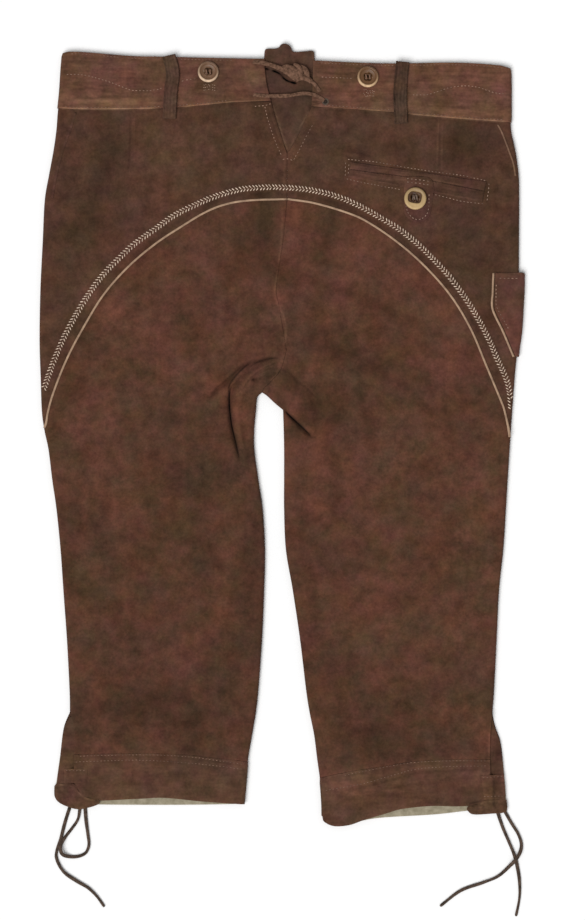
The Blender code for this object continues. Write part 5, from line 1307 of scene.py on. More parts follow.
def walled(faces, count):
    """Faces of two layers of points that are joined round their edge, and which lie on the inside."""
    polygons, sides = [], {}
    for face in faces:
        polygons += [tuple(face), tuple(count + k for k in reversed(face))]
        for a, b in zip(face, list(face[1:]) + [face[0]]):
            if sides.pop((b, a), None) is None:
                sides[(a, b)] = True
    inner = [0, 1] * len(faces) + [0] * len(sides)
    return polygons + [(b, a, count + a, count + b) for a, b in sides], inner


def shell(
    node, loop, finish, form, lower, upper, slot, step=FINE,
    *, rows=(), free=(), creased=True, roll=ROLL, wear_and_painted_light=0.0, tint_and_painted_light=None,
):
    """A thin shell of hide for one CAD node: a cut outline on the laid form, between two levels."""
    loop = inset(np.asarray(loop, float), PARTED if creased else SEAM / 2)
    rows = [run for row in rows for run in crossing(row, loop)] + fold_rows(loop)
    free = list(free) + ([crease_points(loop)] if creased else [])
    free = np.vstack(free) if free else np.zeros((0, 2))
    free = free[inside(free, loop)] if len(free) else free
    points, faces = filled(loop, rows, free, step)
    base, way, shade = form(points)
    upper, lower = (
        level(points) if callable(level) else np.full(len(points), level) for level in (upper, lower)
    )
    away = np.full(len(points), np.inf)
    for run in off_fold_runs(loop):
        away = np.minimum(away, nearest(points, run)[0])
    drop = np.clip(roll - away, 0.0, roll)
    drop = (roll - np.sqrt(roll**2 - drop**2)) * ease(fold_distance(points)[0] / 1.5 + 0.1)
    drop = np.minimum(drop, 0.7 * np.abs(upper - lower))
    top, foot = (upper, lower + drop) if form is front_form else (upper - drop, lower)
    places = np.vstack([base + way * top[:, None], base + way * foot[:, None]])
    polygons, inner = walled(faces, len(points))
    tone, red = tone_of(points)
    # shade is the painted crease shade and highlight; the edge term lightens worn edges, and where it is below
    # 0 it is painted shade along the edge; the tint term can carry painted light too
    tone = tone + shade + wear_and_painted_light * bell(away, 1.6) + (tint_and_painted_light(points) if tint_and_painted_light else 0.0)
    values = {"tone": np.tile(tone, 2), "red": np.tile(red, 2)}
    inner = inner if isinstance(finish, tuple) else None
    mesh = closed_mesh(node + "_hide", places, polygons, SHARP_HIDE, values, inner)
    return sewable(put(node + "_hide", mesh, finish, slot), node), loop


def tone_of(points):
    """How light and how red the hide is at each point: the patches and rubbed edges worn into it, with painted
    shade in a few patches and along some lines.
    """
    tone, red = np.zeros(len(points)), np.zeros(len(points))
    for light, width, line in RUBBED_AND_SHADED:
        near, away, _, along, _ = near_line(points, line, 3.0 * width)
        uneven = 0.8 + 0.35 * ripple(points[near], 22.0, 51) + 0.25 * ripple(points[near], 7.0, 52)
        band = uneven * bell(away, width) * ease(12.0 * np.minimum(along, 1.0 - along))
        tone[near] += light * band
        red[near] -= 0.8 * max(light, 0.0) * band
    for *place, light, ruddy in PATCHES:
        near = patch(points, *place)
        tone += light * near
        red += ruddy * near
    return tone, red


def laid(piece, rests_on=(), **more):
    """The piece of a shell; the width, length and area of its cut are worked out here and not used."""
    piece, loop = piece
    sizes = []
    for turn in np.radians(np.arange(0, 90, 3)):
        c, s = math.cos(turn), math.sin(turn)
        sizes.append(np.ptp(loop @ np.array([[c, -s], [s, c]]), axis=0) * MM)
    width, length = min(sizes, key=lambda size: size[0] * size[1])
    area = min(abs(signed_area(loop)) * MM * MM, width * length)
    return piece


# ---------------------------------------------------------------- camera and laces


def set_camera():
    """Straight over the garment, its waist at the top."""
    camera = bpy.data.cameras.new("camera")
    camera.sensor_width = SENSOR
    camera.lens = SENSOR * CAMERA_HEIGHT / (VIEW[1] * MM)
    camera.clip_end = 20.0
    middle = to_world(np.array([[VIEW[0] / 2, VIEW[1] / 2, 0.0]]))[0]
    scene = bpy.context.scene
    scene.camera = placed("camera", camera, (middle[0], middle[1], CAMERA_HEIGHT + LAID * MM))
    scene.view_settings.view_transform = "Standard"


def swept(name, route, widths, heights, turns, finish):
    """A flat strand along a route in mm: its width, height and roll at each point of the route."""
    ahead = unit(np.gradient(route, axis=0))
    aside = unit(np.cross(ahead, [0.0, 0.0, -1.0]))
    over = np.cross(aside, ahead)
    over *= np.where(over[:, 2] < 0, -1.0, 1.0)[:, None]
    angles = circle(STRAND_SIDES)
    across, up = (np.sign(part) * np.abs(part) ** 0.75 for part in (np.cos(angles), np.sin(angles)))
    rings = []
    for k, place in enumerate(route):
        c, s = math.cos(turns[k]), math.sin(turns[k])
        u, v = aside[k] * c + over[k] * s, over[k] * c - aside[k] * s
        x, y = across * widths[k] / 2, up * heights[k] / 2
        rings.append(place + x[:, None] * u + y[:, None] * v)
    last = (len(rings) - 1) * STRAND_SIDES
    ends = [tuple(range(start, start + STRAND_SIDES)) for start in (0, last)]
    faces = tube_faces(len(rings), STRAND_SIDES) + ends
    mesh = closed_mesh(name, np.vstack(rings), faces, SHARP_STRAND)
    return put(name, mesh, finish, "lace_leather")


def knee_laces():
    """The laces' free ends, flat thongs that roll a little, one over another where they cross."""
    for name, route, far_end, phase in (
        ("knee_lace_left_tail", LACE_LEFT_TAIL, "bare", 0.3),
        ("knee_lace_left_loop", LACE_LEFT_LOOP, "object", 1.4),
        ("knee_lace_right_inner", LACE_RIGHT_INNER, "bare", 2.2),
        ("knee_lace_right_outer", LACE_RIGHT_OUTER, "bare", 3.1),
    ):
        line = smooth(route, 1.5)
        along = run_along(line)
        turn = 0.5 * np.sin(along / 17.0 + phase) + 0.35 * np.sin(along / 6.3 + 2 * phase)
        width = CORD_WIDTH * (0.92 + 0.10 * np.sin(along / 11.0 + phase))
        thick = 2.1 + 0.2 * np.sin(along / 4.1 + phase)
        if far_end == "bare":
            to_end = along[-1] - along
            width *= 1.0 - 0.22 * ease(1.0 - to_end / 55.0) + 0.20 * ease(1.0 - to_end / 12.0)
            width *= 0.35 + 0.65 * ease(to_end / 3.0 + 0.3)
        reach = np.sqrt((width / 2 * np.sin(turn)) ** 2 + (thick / 2 * np.cos(turn)) ** 2)
        height = np.maximum(reach + 0.1, 1.35)
        for right, down, half in LACE_HUMPS.get(name, ()):
            off = np.hypot(line[:, 0] - right, line[:, 1] - down)
            height += CORD_WIDTH * ease(1.25 * (1.0 - off / half))
        path = np.column_stack([line, height])
        piece = swept(name + "_thong", path, width, thick, turn, LACE)
        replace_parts(piece, name)


# ---------------------------------------------------------------- the pieces


def front_panels():
    """Each half of the front, trunk and leg in one, flat on the surface."""
    middle = smooth(CENTRE_FRONT, 12.0)
    middle = middle[middle[:, 1] > BAND_FOOT]
    middle = np.vstack([[(middle[0, 0], BAND_FOOT)], middle, [(280.0, 374)], [CROTCH[2]]])
    left = outline(
        [fold_at(OUTER_LEFT, BAND_FOOT)],
        middle,
        CROTCH_LEFT[::-1],
        between(INNER_LEFT, INNER_LEFT[0, 1], KNEE_TOP_LEFT),
        KNEE_FRONT_LEFT[::-1],
        smooth(UNDERLAP_LEFT, ALONG)[::-1],
        between(OUTER_LEFT, BAND_FOOT, SLIT_TOP)[::-1],
    )
    right = outline(
        [fold_at(OUTER_RIGHT, BAND_FOOT)],
        between(OUTER_RIGHT, BAND_FOOT, SLIT_TOP),
        smooth(UNDERLAP_RIGHT, ALONG),
        KNEE_FRONT_RIGHT[::-1],
        between(INNER_RIGHT, INNER_RIGHT[0, 1], KNEE_TOP_RIGHT)[::-1],
        CROTCH_RIGHT[::-1],
        middle[::-1],
    )
    for node, loop in (("front_left", left), ("front_right", right)):
        laid(shell(node, loop, SUEDE, front_form, -HIDE, 0.0, "suede", PLAIN, creased=False))


def front_bands():
    """The front waistband's halves and the front of each knee band, pale on the inside."""
    centre = CENTRE_FRONT[0][0]
    middle_top, middle_foot = (centre, 60.5), (centre, BAND_FOOT)
    lowered = np.array([0.0, 1.2])
    waist_left = outline(
        smooth([*BAND_TOP_LEFT, middle_top], ALONG) + lowered,
        [middle_foot, fold_at(OUTER_LEFT, BAND_FOOT)],
        between(OUTER_LEFT, BAND_FOLD_LEFT, BAND_FOOT)[::-1],
    )
    waist_right = outline(
        smooth([middle_top, *BAND_TOP_RIGHT[1:]], ALONG) + lowered,
        between(OUTER_RIGHT, BAND_FOLD_RIGHT_FRONT, BAND_FOOT),
        [fold_at(OUTER_RIGHT, BAND_FOOT), middle_foot],
    )
    knee_left = outline(
        KNEE_FRONT_LEFT,
        between(INNER_LEFT, KNEE_TOP_LEFT, HEM_END_LEFT),
        seam(HEM_FRONT_LEFT, INNER_LEFT)[::-1],
        smooth(KNEE_END_FRONT_LEFT, ALONG)[::-1],
    )
    knee_right = outline(
        KNEE_FRONT_RIGHT,
        smooth(KNEE_END_FRONT_RIGHT, ALONG),
        seam(HEM_FRONT_RIGHT, INNER_RIGHT)[::-1],
        between(INNER_RIGHT, KNEE_TOP_RIGHT, HEM_END_RIGHT)[::-1],
    )
    for node, loop, finish in (
        ("waistband_front_left", waist_left, BAND),
        ("waistband_front_right", waist_right, BAND),
        ("knee_band_front_left", knee_left, (BAND, INSIDE)),
        ("knee_band_front_right", knee_right, (BAND, INSIDE)),
    ):
        laid(shell(node, loop, finish, front_form, -DOUBLE_HIDE, 0.0, "suede_band", PLAIN, creased=False))


def yokes():
    """The back above the arched seam, left and right of the V and the centre seam."""
    centre = spaced(CENTRE_BACK[:2], ALONG)
    left = outline(
        WAIST_LINE_LEFT,
        [V_LEFT[0]],
        smooth(V_LEFT, ALONG)[1:],
        centre,
        ARCH_LINE_LEFT[::-1],
        between(OUTER_LEFT, WAIST_END_LEFT, ARCH_END_LEFT)[::-1],
    )
    right = outline(
        [V_RIGHT[0]],
        WAIST_LINE_RIGHT,
        between(OUTER_RIGHT, WAIST_END_RIGHT, ARCH_END_RIGHT),
        ARCH_LINE_RIGHT[::-1],
        centre[::-1],
        smooth(V_RIGHT, ALONG)[::-1][:-1],
    )
    for side, loop, hip in (("left", left, HIP_PIPING_LEFT), ("right", right, HIP_PIPING_RIGHT)):
        yoke = shell("yoke_" + side, loop, YOKE, back_form, -HIDE, 0.0, "suede", wear_and_painted_light=0.06, roll=0.3)
        look = (WELT, "suede", 2.4, 0.25) if side == "left" else (EDGING, "suede", 1.7, 0.7)
        edges = [piped("hip_piping_" + side, hip, *look)]
        laid(yoke, ["front_" + side], with_pieces=edges + (pocket_welts() if side == "right" else []))


def seat_legs():
    """The seat and leg below the arched seam, down to the knee band, with its light piping."""
    centre = np.vstack([smooth(CENTRE_BACK[1:], ALONG), smooth(CENTRE_CROTCH, ALONG / 2)[1:]])
    left = outline(
        ARCH_LINE_LEFT,
        centre,
        CROTCH_LEFT[::-1],
        between(INNER_LEFT, INNER_LEFT[0, 1], KNEE_TOP_LEFT),
        KNEE_LINE_LEFT[::-1],
        smooth(SLIT_EDGE_LEFT, ALONG)[::-1],
        between(OUTER_LEFT, ARCH_END_LEFT, SLIT_TOP)[::-1],
    )
    right = outline(
        ARCH_LINE_RIGHT,
        between(OUTER_RIGHT, ARCH_END_RIGHT, SLIT_TOP),
        smooth(SLIT_EDGE_RIGHT, ALONG),
        KNEE_LINE_RIGHT[::-1],
        between(INNER_RIGHT, INNER_RIGHT[0, 1], KNEE_TOP_RIGHT)[::-1],
        CROTCH_RIGHT[::-1],
        centre[::-1],
    )
    start = np.array(fold_at(OUTER_LEFT, ARCH_END_LEFT - 1.0)) + [1.2, 0.0]
    for side, loop, route in (
        ("left", left, [start, *ARCH_LEFT[1:-1], PIPING_MIDDLE[0]]),
        ("right", right, [PIPING_MIDDLE[1], *ARCH_RIGHT[1:-3], *PIPING_END]),
    ):
        leg = shell("seat_leg_" + side, loop, SUEDE, back_form, -HIDE, 0.0, "suede", wear_and_painted_light=0.06, roll=0.3)
        edge = piped("seat_piping_" + side, route, TAN, "piping_leather", PIPING_WIDTH, PIPING_RISE)
        laid(leg, ["front_" + side], with_pieces=[edge])


def piped(node, route, finish, slot, width, rise):
    """A turned strip of leather with a round back, lying on the panels along a seam."""
    middle = smooth(route, PIPED_STEP)
    parts = np.sin(np.linspace(-math.pi / 2, math.pi / 2, 9))
    grid = np.stack([beside(middle, by * width / 2) for by in parts], axis=1)
    count, across = grid.shape[:2]
    base, way, _ = back_form(grid.reshape(-1, 2))
    run = np.repeat(np.arange(count) * PIPED_STEP, across)
    swell = 1.0 + 0.07 * np.sin(run / 3.1) + 0.05 * np.sin(run / 8.7 + 1.0)
    crown = np.tile(np.sqrt(np.maximum(1.0 - parts**2, 0.0)), count)
    top = SEAM + rise * (0.42 + 0.58 * crown) * swell
    places = np.vstack([base + way * top[:, None], base + way * SEAM])
    half = count * across
    polygons = []
    for k in range(0, half - across, across):
        for a in range(k, k + across - 1):
            b, c, d = a + 1, a + across + 1, a + across
            polygons += [(a, b, c, d), (half + d, half + c, half + b, half + a)]
        polygons += [(a, a + across, half + a + across, half + a) for a in (k, k + across - 1)]
    for k in (0, half - across):
        polygons += [(a, a + 1, half + a + 1, half + a) for a in range(k, k + across - 1)]
    plain = {label: np.zeros(2 * half) for label in ("tone", "red")}
    mesh = closed_mesh(node + "_strip", places, polygons, values=plain)
    return sewable(put(node + "_strip", mesh, finish, slot), node)


def back_bands():
    """The back waistband's halves, parted at the V, and the back of each knee band."""
    waist_left = outline(
        smooth(BAND_TOP_LEFT + (BAND_END_LEFT[0],), ALONG),
        smooth(BAND_END_LEFT, ALONG)[1:],
        WAIST_LINE_LEFT[::-1],
        between(OUTER_LEFT, BAND_FOLD_LEFT, WAIST_END_LEFT)[::-1],
    )
    waist_right = outline(
        smooth(BAND_TOP_RIGHT, ALONG),
        between(OUTER_RIGHT, BAND_FOLD_RIGHT_BACK, WAIST_END_RIGHT),
        WAIST_LINE_RIGHT[::-1],
        smooth(BAND_END_RIGHT, ALONG)[::-1],
    )
    for side, loop in (("left", waist_left), ("right", waist_right)):
        lower, upper = BAND_RISE - DOUBLE_HIDE, BAND_RISE
        node = "waistband_back_" + side
        band = shell(node, loop, BAND, back_form, lower, upper, "suede_band", 2.8, wear_and_painted_light=0.10, roll=0.4)
        laid(band, ["waistband_front_" + side])
    knee_left = outline(
        KNEE_LINE_LEFT,
        between(INNER_LEFT, KNEE_TOP_LEFT, HEM_END_LEFT),
        HEM_LINE_LEFT[::-1],
        smooth(KNEE_END_LEFT, ALONG)[::-1],
    )
    knee_right = outline(
        KNEE_LINE_RIGHT,
        smooth(KNEE_END_RIGHT, ALONG),
        HEM_LINE_RIGHT[::-1],
        between(INNER_RIGHT, KNEE_TOP_RIGHT, HEM_END_RIGHT)[::-1],
    )
    for side, loop, top in (("left", knee_left, KNEE_LINE_LEFT), ("right", knee_right, KNEE_LINE_RIGHT)):

        def upper(points, top=top):
            return BAND_RISE * (0.1 + 0.9 * ease(nearest(points, top)[0] / 6.0))

        def lower(points, upper=upper):
            return upper(points) - DOUBLE_HIDE

        node = "knee_band_back_" + side
        band = shell(node, loop, KNEE_BAND, back_form, lower, upper, "suede_band", 2.4, wear_and_painted_light=0.10, roll=0.4)
        laid(band, ["knee_band_front_" + side])


def gusset():
    """The V let in under the yoke and the bands, bunched into a ridge where its tab stands out."""
    ridge = smooth(GUSSET_RIDGE, 2.0)

    def upper(points):
        away, _, along, _ = nearest(points, ridge)
        rise = 3.0 * bell(away, 4.2) * ease(3.0 * (1.0 - along))
        return rise - HIDE - DOUBLE_HIDE + BAND_RISE + 0.5

    def lower(points):
        return upper(points) - HIDE

    tie_shade = smooth(TIE_SHADE, 1.0)
    laid(
        shell(
            "back_gusset", closed(GUSSET, 2.4), SHADED, gusset_form, lower, upper, "suede_dark", 1.6,
            free=[beside(tie_shade, by) for by in (-1.4, -0.7, 0.0, 0.7, 1.4)], creased=False, wear_and_painted_light=0.2,
        )
    )


def belt_loops():
    """A loop over each half of the waistband, sewn down below the band's seam."""
    for side, route, waist, light in (
        ("left", LOOP_LEFT, WAIST_SEAM_LEFT[2][1], 0.16),
        ("right", LOOP_RIGHT, WAIST_SEAM_RIGHT[2][1] + 1.2, -0.05),
    ):
        top, foot = route[0][1], route[-1][1]
        middle = smooth(route, 2.0)

        def ribbed(points, middle=middle):
            away, _, _, sign = nearest(points, middle)
            off = away * sign
            return off, np.sin(2 * math.pi * off / LOOP_RIB + 1.6 * ripple(points, 17.0, 41))

        def lower(points, top=top, foot=foot, waist=waist):
            down = points[:, 1]
            off_band = BAND_RISE * (1.0 - ease((down - waist - 0.6) / 5.0))
            bow = 0.9 * np.sin(np.pi * np.clip((down - top) / (foot - top), 0.0, 1.0))
            return SEAM + off_band + bow

        def upper(points, lower=lower, ribbed=ribbed):
            lumps = 0.26 * ripple(points, 6.0, 42) + 0.16 * ripple(points, 2.8, 43)
            return lower(points) + DOUBLE_HIDE - 0.3 + 0.30 * ribbed(points)[1] + lumps

        # painted light: the tone follows the ribs as painted shade and highlight, and a painted shadow darkens
        # the loop's left edge
        def tint_and_painted_light(points, ribbed=ribbed, light=light):
            off, ribs = ribbed(points)
            return 0.13 * ribs + 0.14 * ripple(points, 4.0, 44) - 0.30 * bell(off - 5.3, 1.2) + light

        loop, node = strip(route, LOOP_WIDTH, 2.4), "belt_loop_" + side
        # the edge term below 0 is painted shade along the loop's edges
        made = shell(node, loop, DARK, back_form, lower, upper, "suede_dark", 1.2, wear_and_painted_light=-0.04, tint_and_painted_light=tint_and_painted_light)
        laid(made, ["waistband_back_" + side])


def pocket_welts():
    """Two welts that meet at the pocket's mouth."""
    mouth = smooth(POCKET_MOUTH, 3.0)
    top_left, top_right, foot_right, foot_left = (np.array(p) for p in POCKET_FRAME)
    upper_welt = outline(spaced([top_left, top_right], 3.0), mouth[::-1])
    lower_welt = outline(mouth, spaced([foot_right, foot_left], 3.0))

    def rounded(points):
        away, _, along, sign = nearest(points, mouth)
        roll = 0.45 + 0.35 * np.cos(np.pi * np.clip(away / 9.0 - 0.35, -0.35, 0.65))
        folds = 0.22 * np.sin(away * 2.1 + 1.5 * np.sin(along * 7.0) + sign) * ease(away / 2.0)
        return SEAM + HIDE * roll + folds * ease(4.0 * np.minimum(along, 1.0 - along) + 0.2)

    return [
        shell(node, loop, WELT, back_form, SEAM, rounded, "suede", 1.3, wear_and_painted_light=0.10, roll=0.5)[0]
        for node, loop in (("pocket_welt_upper", upper_welt), ("pocket_welt_lower", lower_welt))
    ]


def pocket_tab():
    """The button tab that comes out between the welts."""
    foot = np.array([POCKET_FRAME[3], POCKET_FRAME[2]])
    tab = closed(POCKET_TAB, 2.0)
    rim = np.vstack([tab, tab[:1]])

    def lower(points):
        over = nearest(points, foot)[1][:, 1] - points[:, 1]
        return SEAM + (HIDE + SEAM) * ease((over + 4.5) / 3.0)

    def upper(points):
        return lower(points) + HIDE - 0.7 * bell(nearest(points, rim)[0], 2.0)

    made = shell("pocket_tab", tab, WELT, back_form, lower, upper, "suede_dark", 1.3, wear_and_painted_light=0.10, roll=1.7)
    laid(made, ["pocket_welt_lower_hide", "yoke_right_hide"])


def side_pocket():
    """The flat pocket on the right thigh, and the piping round its edge."""
    edge, lip = spaced(SIDE_POCKET_EDGE, 2.4), smooth(SIDE_POCKET_LIP, 2.4)
    loop = outline(edge[::-1], lip)
    rows = [lip[1:-1] - [by, 0.0] for by in (0.5, 0.95, 1.5, 2.4, 3.8, 5.6)]
    look = (POCKET, side_pocket_form, SEAM, SEAM + HIDE, "suede", 2.0)
    pocket = shell("side_pocket", loop, *look, rows=rows, wear_and_painted_light=0.14)
    line = np.array(SIDE_POCKET_EDGE) - [1.9, -0.4]
    edging = piped("side_pocket_piping", line, TAN, "piping_leather", PIPING_WIDTH, PIPING_RISE)
    laid(pocket, ["seat_leg_right_hide", "yoke_right_hide"], with_pieces=[edging])


def knee_slits():
    """What shows at each knee's open slit: the underlay, the lace tab and the end of the casing."""
    for side, loop in (("left", SLIT_LEFT), ("right", SLIT_RIGHT)):
        loop, node = spaced(loop + loop[:1], 3.0)[:-1], "slit_underlay_" + side
        look = (KNEE_BAND, underlay_form, 0.0, UNDERLAY, "suede_dark", 3.0)
        laid(shell(node, loop, *look, creased=False), ["knee_band_front_" + side])
    for node, loop, knee_end in (
        ("lace_tab_left", spaced(LACE_TAB_LEFT + LACE_TAB_LEFT[:1], 2.0)[:-1], 74.0),
        ("lace_tab_right", spaced(LACE_TAB_RIGHT + LACE_TAB_RIGHT[:1], 2.0)[:-1], 490.5),
        ("lace_casing_left", closed(CASING_LEFT, 2.0), 75.4),
        ("lace_casing_right", closed(CASING_RIGHT, 2.0), 490.4),
    ):
        _, kind, side = node.split("_")
        casing = kind == "casing"
        hem, outwards = (HEM_LINE_LEFT, -1.0) if side == "left" else (HEM_LINE_RIGHT, 1.0)

        def draped(points, knee_end=knee_end, outwards=outwards, hem=hem, casing=casing):
            past_end = (points[:, 0] - knee_end) * outwards
            past_hem = points[:, 1] - np.interp(points[:, 0], hem[:, 0], hem[:, 1])
            past = np.maximum(past_end, past_hem)
            height, shade = back_height(points)
            high = height + BAND_RISE + 0.1
            low = CASING_LOW if casing else UNDERLAY_TOP + SEAM
            z = high + (low - high) * ease((past - DRAPE_FROM) / (DRAPE_TO - DRAPE_FROM))
            if casing:
                z = z + 0.55 * ripple(points, 8.0, 31) + 0.25 * ripple(points, 3.4, 32)
            else:
                z = z + 0.20 * ripple(points, 9.0, 33)
            return lifted(points, z, shade)

        def rumpled(points, casing=casing):
            return 0.10 * ripple(points, 6.0, 34) - (0.06 if casing else 0.0)

        look = (KNEE_BAND, draped, 0.0, THIN_HIDE, "suede_dark", 1.2)
        made = shell(node, loop, *look, creased=False, wear_and_painted_light=0.10, roll=2.2, tint_and_painted_light=rumpled)
        laid(made, ["knee_band_back_" + side])


def button_rings(square):
    """A button's rings of points, as parts of its radius, and how light each point is: a painted highlight on
    the rim, brightest toward LIT_FROM.
    """
    angles = circle(BUTTON_SIDES)
    box = 1.0 / (np.abs(np.cos(angles)) ** 4 + np.abs(np.sin(angles)) ** 4) ** 0.25
    # painted highlight: the rim is lighter and wider on the side toward LIT_FROM
    lit = 0.5 + 0.5 * np.cos(angles - math.radians(LIT_FROM))
    wear_and_painted_light = 0.50 + 0.50 * lit if square else 0.04 + 0.96 * lit**1.5
    rings, tones = [], []
    for out, up in smooth(HOLLOW_PROFILE if square else BUTTON_PROFILE, 0.03):
        squared = ease((0.72 - out) / 0.12) if square else 0.0
        reach = out * (1.0 + squared * (box - 1.0) * 0.8)
        flat = 1.0 - 0.16 * squared
        flat_ring = np.column_stack([reach * np.cos(angles), flat * reach * np.sin(angles)])
        c, s = math.cos(-0.17 * squared), math.sin(-0.17 * squared)
        turned = flat_ring @ np.array([[c, s], [-s, c]])
        rings.append(np.column_stack([turned + [-0.04 * squared, 0.10 * squared], np.full(BUTTON_SIDES, up)]))
        rim = ease((out - 0.575) / 0.05) if square else ease((out - 0.87 + 0.15 * lit) / 0.10)
        tones.append(np.clip(rim * wear_and_painted_light, 0, 1))
    return rings, tones


def button_floor(ring, holes, hole):
    """The button's level middle with its holes left open: points and faces."""
    flat = [tuple(map(float, p)) for p in np.vstack([ring] + holes)]
    edges, start = [], 0
    for sides in [BUTTON_SIDES] + [HOLE_SIDES] * len(holes):
        edges += [(start + k, start + (k + 1) % sides) for k in range(sides)]
        start += sides
    found, _, faces, _, _, _ = delaunay_2d_cdt(flat, edges, [], 1, 1e-5)
    found = np.array([tuple(p) for p in found])
    middles = [(h[:, 0].mean(), h[:, 1].mean()) for h in holes]

    def solid(face):
        x, y = found[list(face)].mean(axis=0)
        return all(math.hypot(x - right, y - up) > 0.8 * hole for right, up in middles)

    return found, [face for face in faces if solid(face)]


def button(node, right, down, level, radius, finish, square):
    """A turned horn button: raised rim, dished middle, four holes and the thread through them."""
    base, way, _ = back_form(np.array([[right, down]]))
    centre = to_world(base + way * (level + SEAM))[0]
    rings, tones = button_rings(square)
    up = rings[-1][0, 2]
    spread, hole = BUTTON_HOLE_SPREAD / radius, BUTTON_HOLE / radius
    c, s = hole * np.cos(circle(HOLE_SIDES)), hole * np.sin(circle(HOLE_SIDES))
    holes = [np.column_stack([x + c, y + s]) for x in (-spread, spread) for y in (-spread, spread)]
    found, faces = button_floor(rings[-1][:, :2], holes, hole)
    made = bmesh.new()
    shade = made.verts.layers.float.new("tone")

    def vertex(x, y, z, tone=0.0):
        point = made.verts.new((x * radius * MM, y * radius * MM, z * radius * MM))
        point[shade] = tone
        return point

    def wall(near, far):
        for k in range(len(near)):
            n = (k + 1) % len(near)
            made.faces.new([near[k], near[n], far[n], far[k]])

    loops = [[vertex(*p, t) for p, t in zip(ring, tone)] for ring, tone in zip(rings, tones)]
    for near, far in zip(loops, loops[1:]):
        wall(near, far)
    made.faces.new(loops[0])
    floor = [vertex(x, y, up) for x, y in found]
    for face in faces:
        made.faces.new([floor[k] for k in face])
    for h in holes:
        mouth = [vertex(x, y, up) for x, y in h]
        low = [vertex(x, y, up - 0.045) for x, y in h]
        wall(mouth, low)
        made.faces.new(low)
    bmesh.ops.remove_doubles(made, verts=made.verts, dist=1e-6)
    bmesh.ops.recalc_face_normals(made, faces=made.faces)
    mesh = bpy.data.meshes.new(node + "_turned")
    made.to_mesh(mesh)
    made.free()
    mesh.shade_smooth()
    mesh.set_sharp_from_angle(angle=math.radians(SHARP_HORN))
    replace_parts(put(node + "_turned", mesh, finish, "horn", centre), node)
    run = np.linspace(-1.0, 1.0, 9)
    bow = 0.75 * np.sqrt(np.maximum(1.0 - run**2, 0.0))
    lift = up * radius + 0.45 + bow - 1.6 * ease((np.abs(run) - 0.8) / 0.2)
    shift = 1.4 if square else 0.0
    strands = [
        np.column_stack([np.full(9, x) + 0.3 * np.sin(2 * run + 2 * x), 2.8 * run + shift, lift])
        for x in ((-2.6, -1.5, -0.4, 0.8, 1.8) if square else (-2.4, -1.5, 1.4, 2.3))
    ]
    paths = np.array(strands) + np.array(centre) / MM
    thick, thread = (1.0, THREAD_GREY) if square else (0.6, THREAD_DARK)
    tubes(node + "_thread", paths * MM, thick, thread, fade=0.8)


def tubes(name, paths, thick, finish, fade=0.55):
    """Many short strands of thread as one piece: paths are rows of points in metres."""
    count, steps = paths.shape[:2]
    ahead = unit(np.gradient(paths, axis=1))
    aside = unit(np.cross(ahead, [0.0, 0.0, 1.0]))
    over = np.cross(aside, ahead)
    width = np.full(steps, 1.0)
    width[[0, -1]] = fade
    sides = THREAD_SIDES
    angles = circle(sides)[:, None]
    ring = aside[:, :, None, :] * np.cos(angles) + over[:, :, None, :] * np.sin(angles)
    places = paths[:, :, None, :] + ring * (thick / 2 * MM) * width[None, :, None, None]
    block = steps * sides
    faces = [(a, d, c, b) for a, b, c, d in tube_faces(steps, sides)]
    polygons = [tuple(start + i for i in face) for start in range(0, count * block, block) for face in faces]
    for start in range(0, count * block, block):
        polygons.append(tuple(start + j for j in range(sides)))
        polygons.append(tuple(start + block - 1 - j for j in range(sides)))
    mesh = bpy.data.meshes.new(name)
    mesh.from_pydata(places.reshape(-1, 3).tolist(), [], polygons)
    mesh.shade_smooth()
    put(name, mesh, finish, "thread")


def strands_on(name, paths, thick, finish, fade=0.55):
    """Strands of thread whose rows of points are board millimetres with a height."""
    tubes(name, to_world(np.vstack(paths)).reshape(len(paths), -1, 3), thick, finish, fade)


def buttons():
    """The two braces buttons on the waistband and the one on the pocket's tab."""
    for (node, right, down, level, width), finish in zip(BUTTONS, (HORN_LEFT, HORN_RIGHT, HORN_LIGHT)):
        button(node, right, down, level, width / 2, finish, finish is HORN_LIGHT)


def back_laces():
    """The lace tied across the top of the V with its knot, and the lace across the V's foot."""
    for node, route, width in (
        ("back_lace_upper_left", TIE_UPPER_LEFT, 4.6),
        ("back_lace_upper_right", TIE_UPPER_RIGHT, 3.8),
        ("back_lace_lower", TIE_LOWER, 3.9),
    ):
        line = smooth(route, 1.2) + [0.0, 0.0, BAND_TOP - TIE_WIDTH / 2 + 0.8]
        along = np.arange(len(line)) * 1.2
        outer = along if route is not TIE_UPPER_RIGHT else along[-1] - along
        line[:, 2] -= 1.3 * bell(outer, 1.6)
        widths = width * (1.0 + 0.08 * np.sin(along / 3.7))
        turn = 0.28 * np.sin(along / 8.0 + 1.0)
        sewable(swept(node + "_thong", line, widths, 1.3 + 0.2 * np.sin(along / 2.9), turn, TIE), node)
    parts = []
    for k, (width, route) in enumerate(KNOT_STRANDS):
        line = smooth(route, 0.8) + [0.0, 0.0, BAND_TOP - 0.6]
        along = np.arange(len(line)) * 0.8
        widths = width * (0.7 + 0.3 * np.sin(np.pi * along / along[-1])) + 0.3 * np.sin(along / 1.7 + k)
        turn = 0.3 * np.sin(along / 4.0 + 2.0 * k)
        parts.append(sewable(swept(f"knot_strand_{k + 1}", line, widths, np.full(len(line), 2.3), turn, TIE)))
    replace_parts(parts[0], "back_lace_knot")


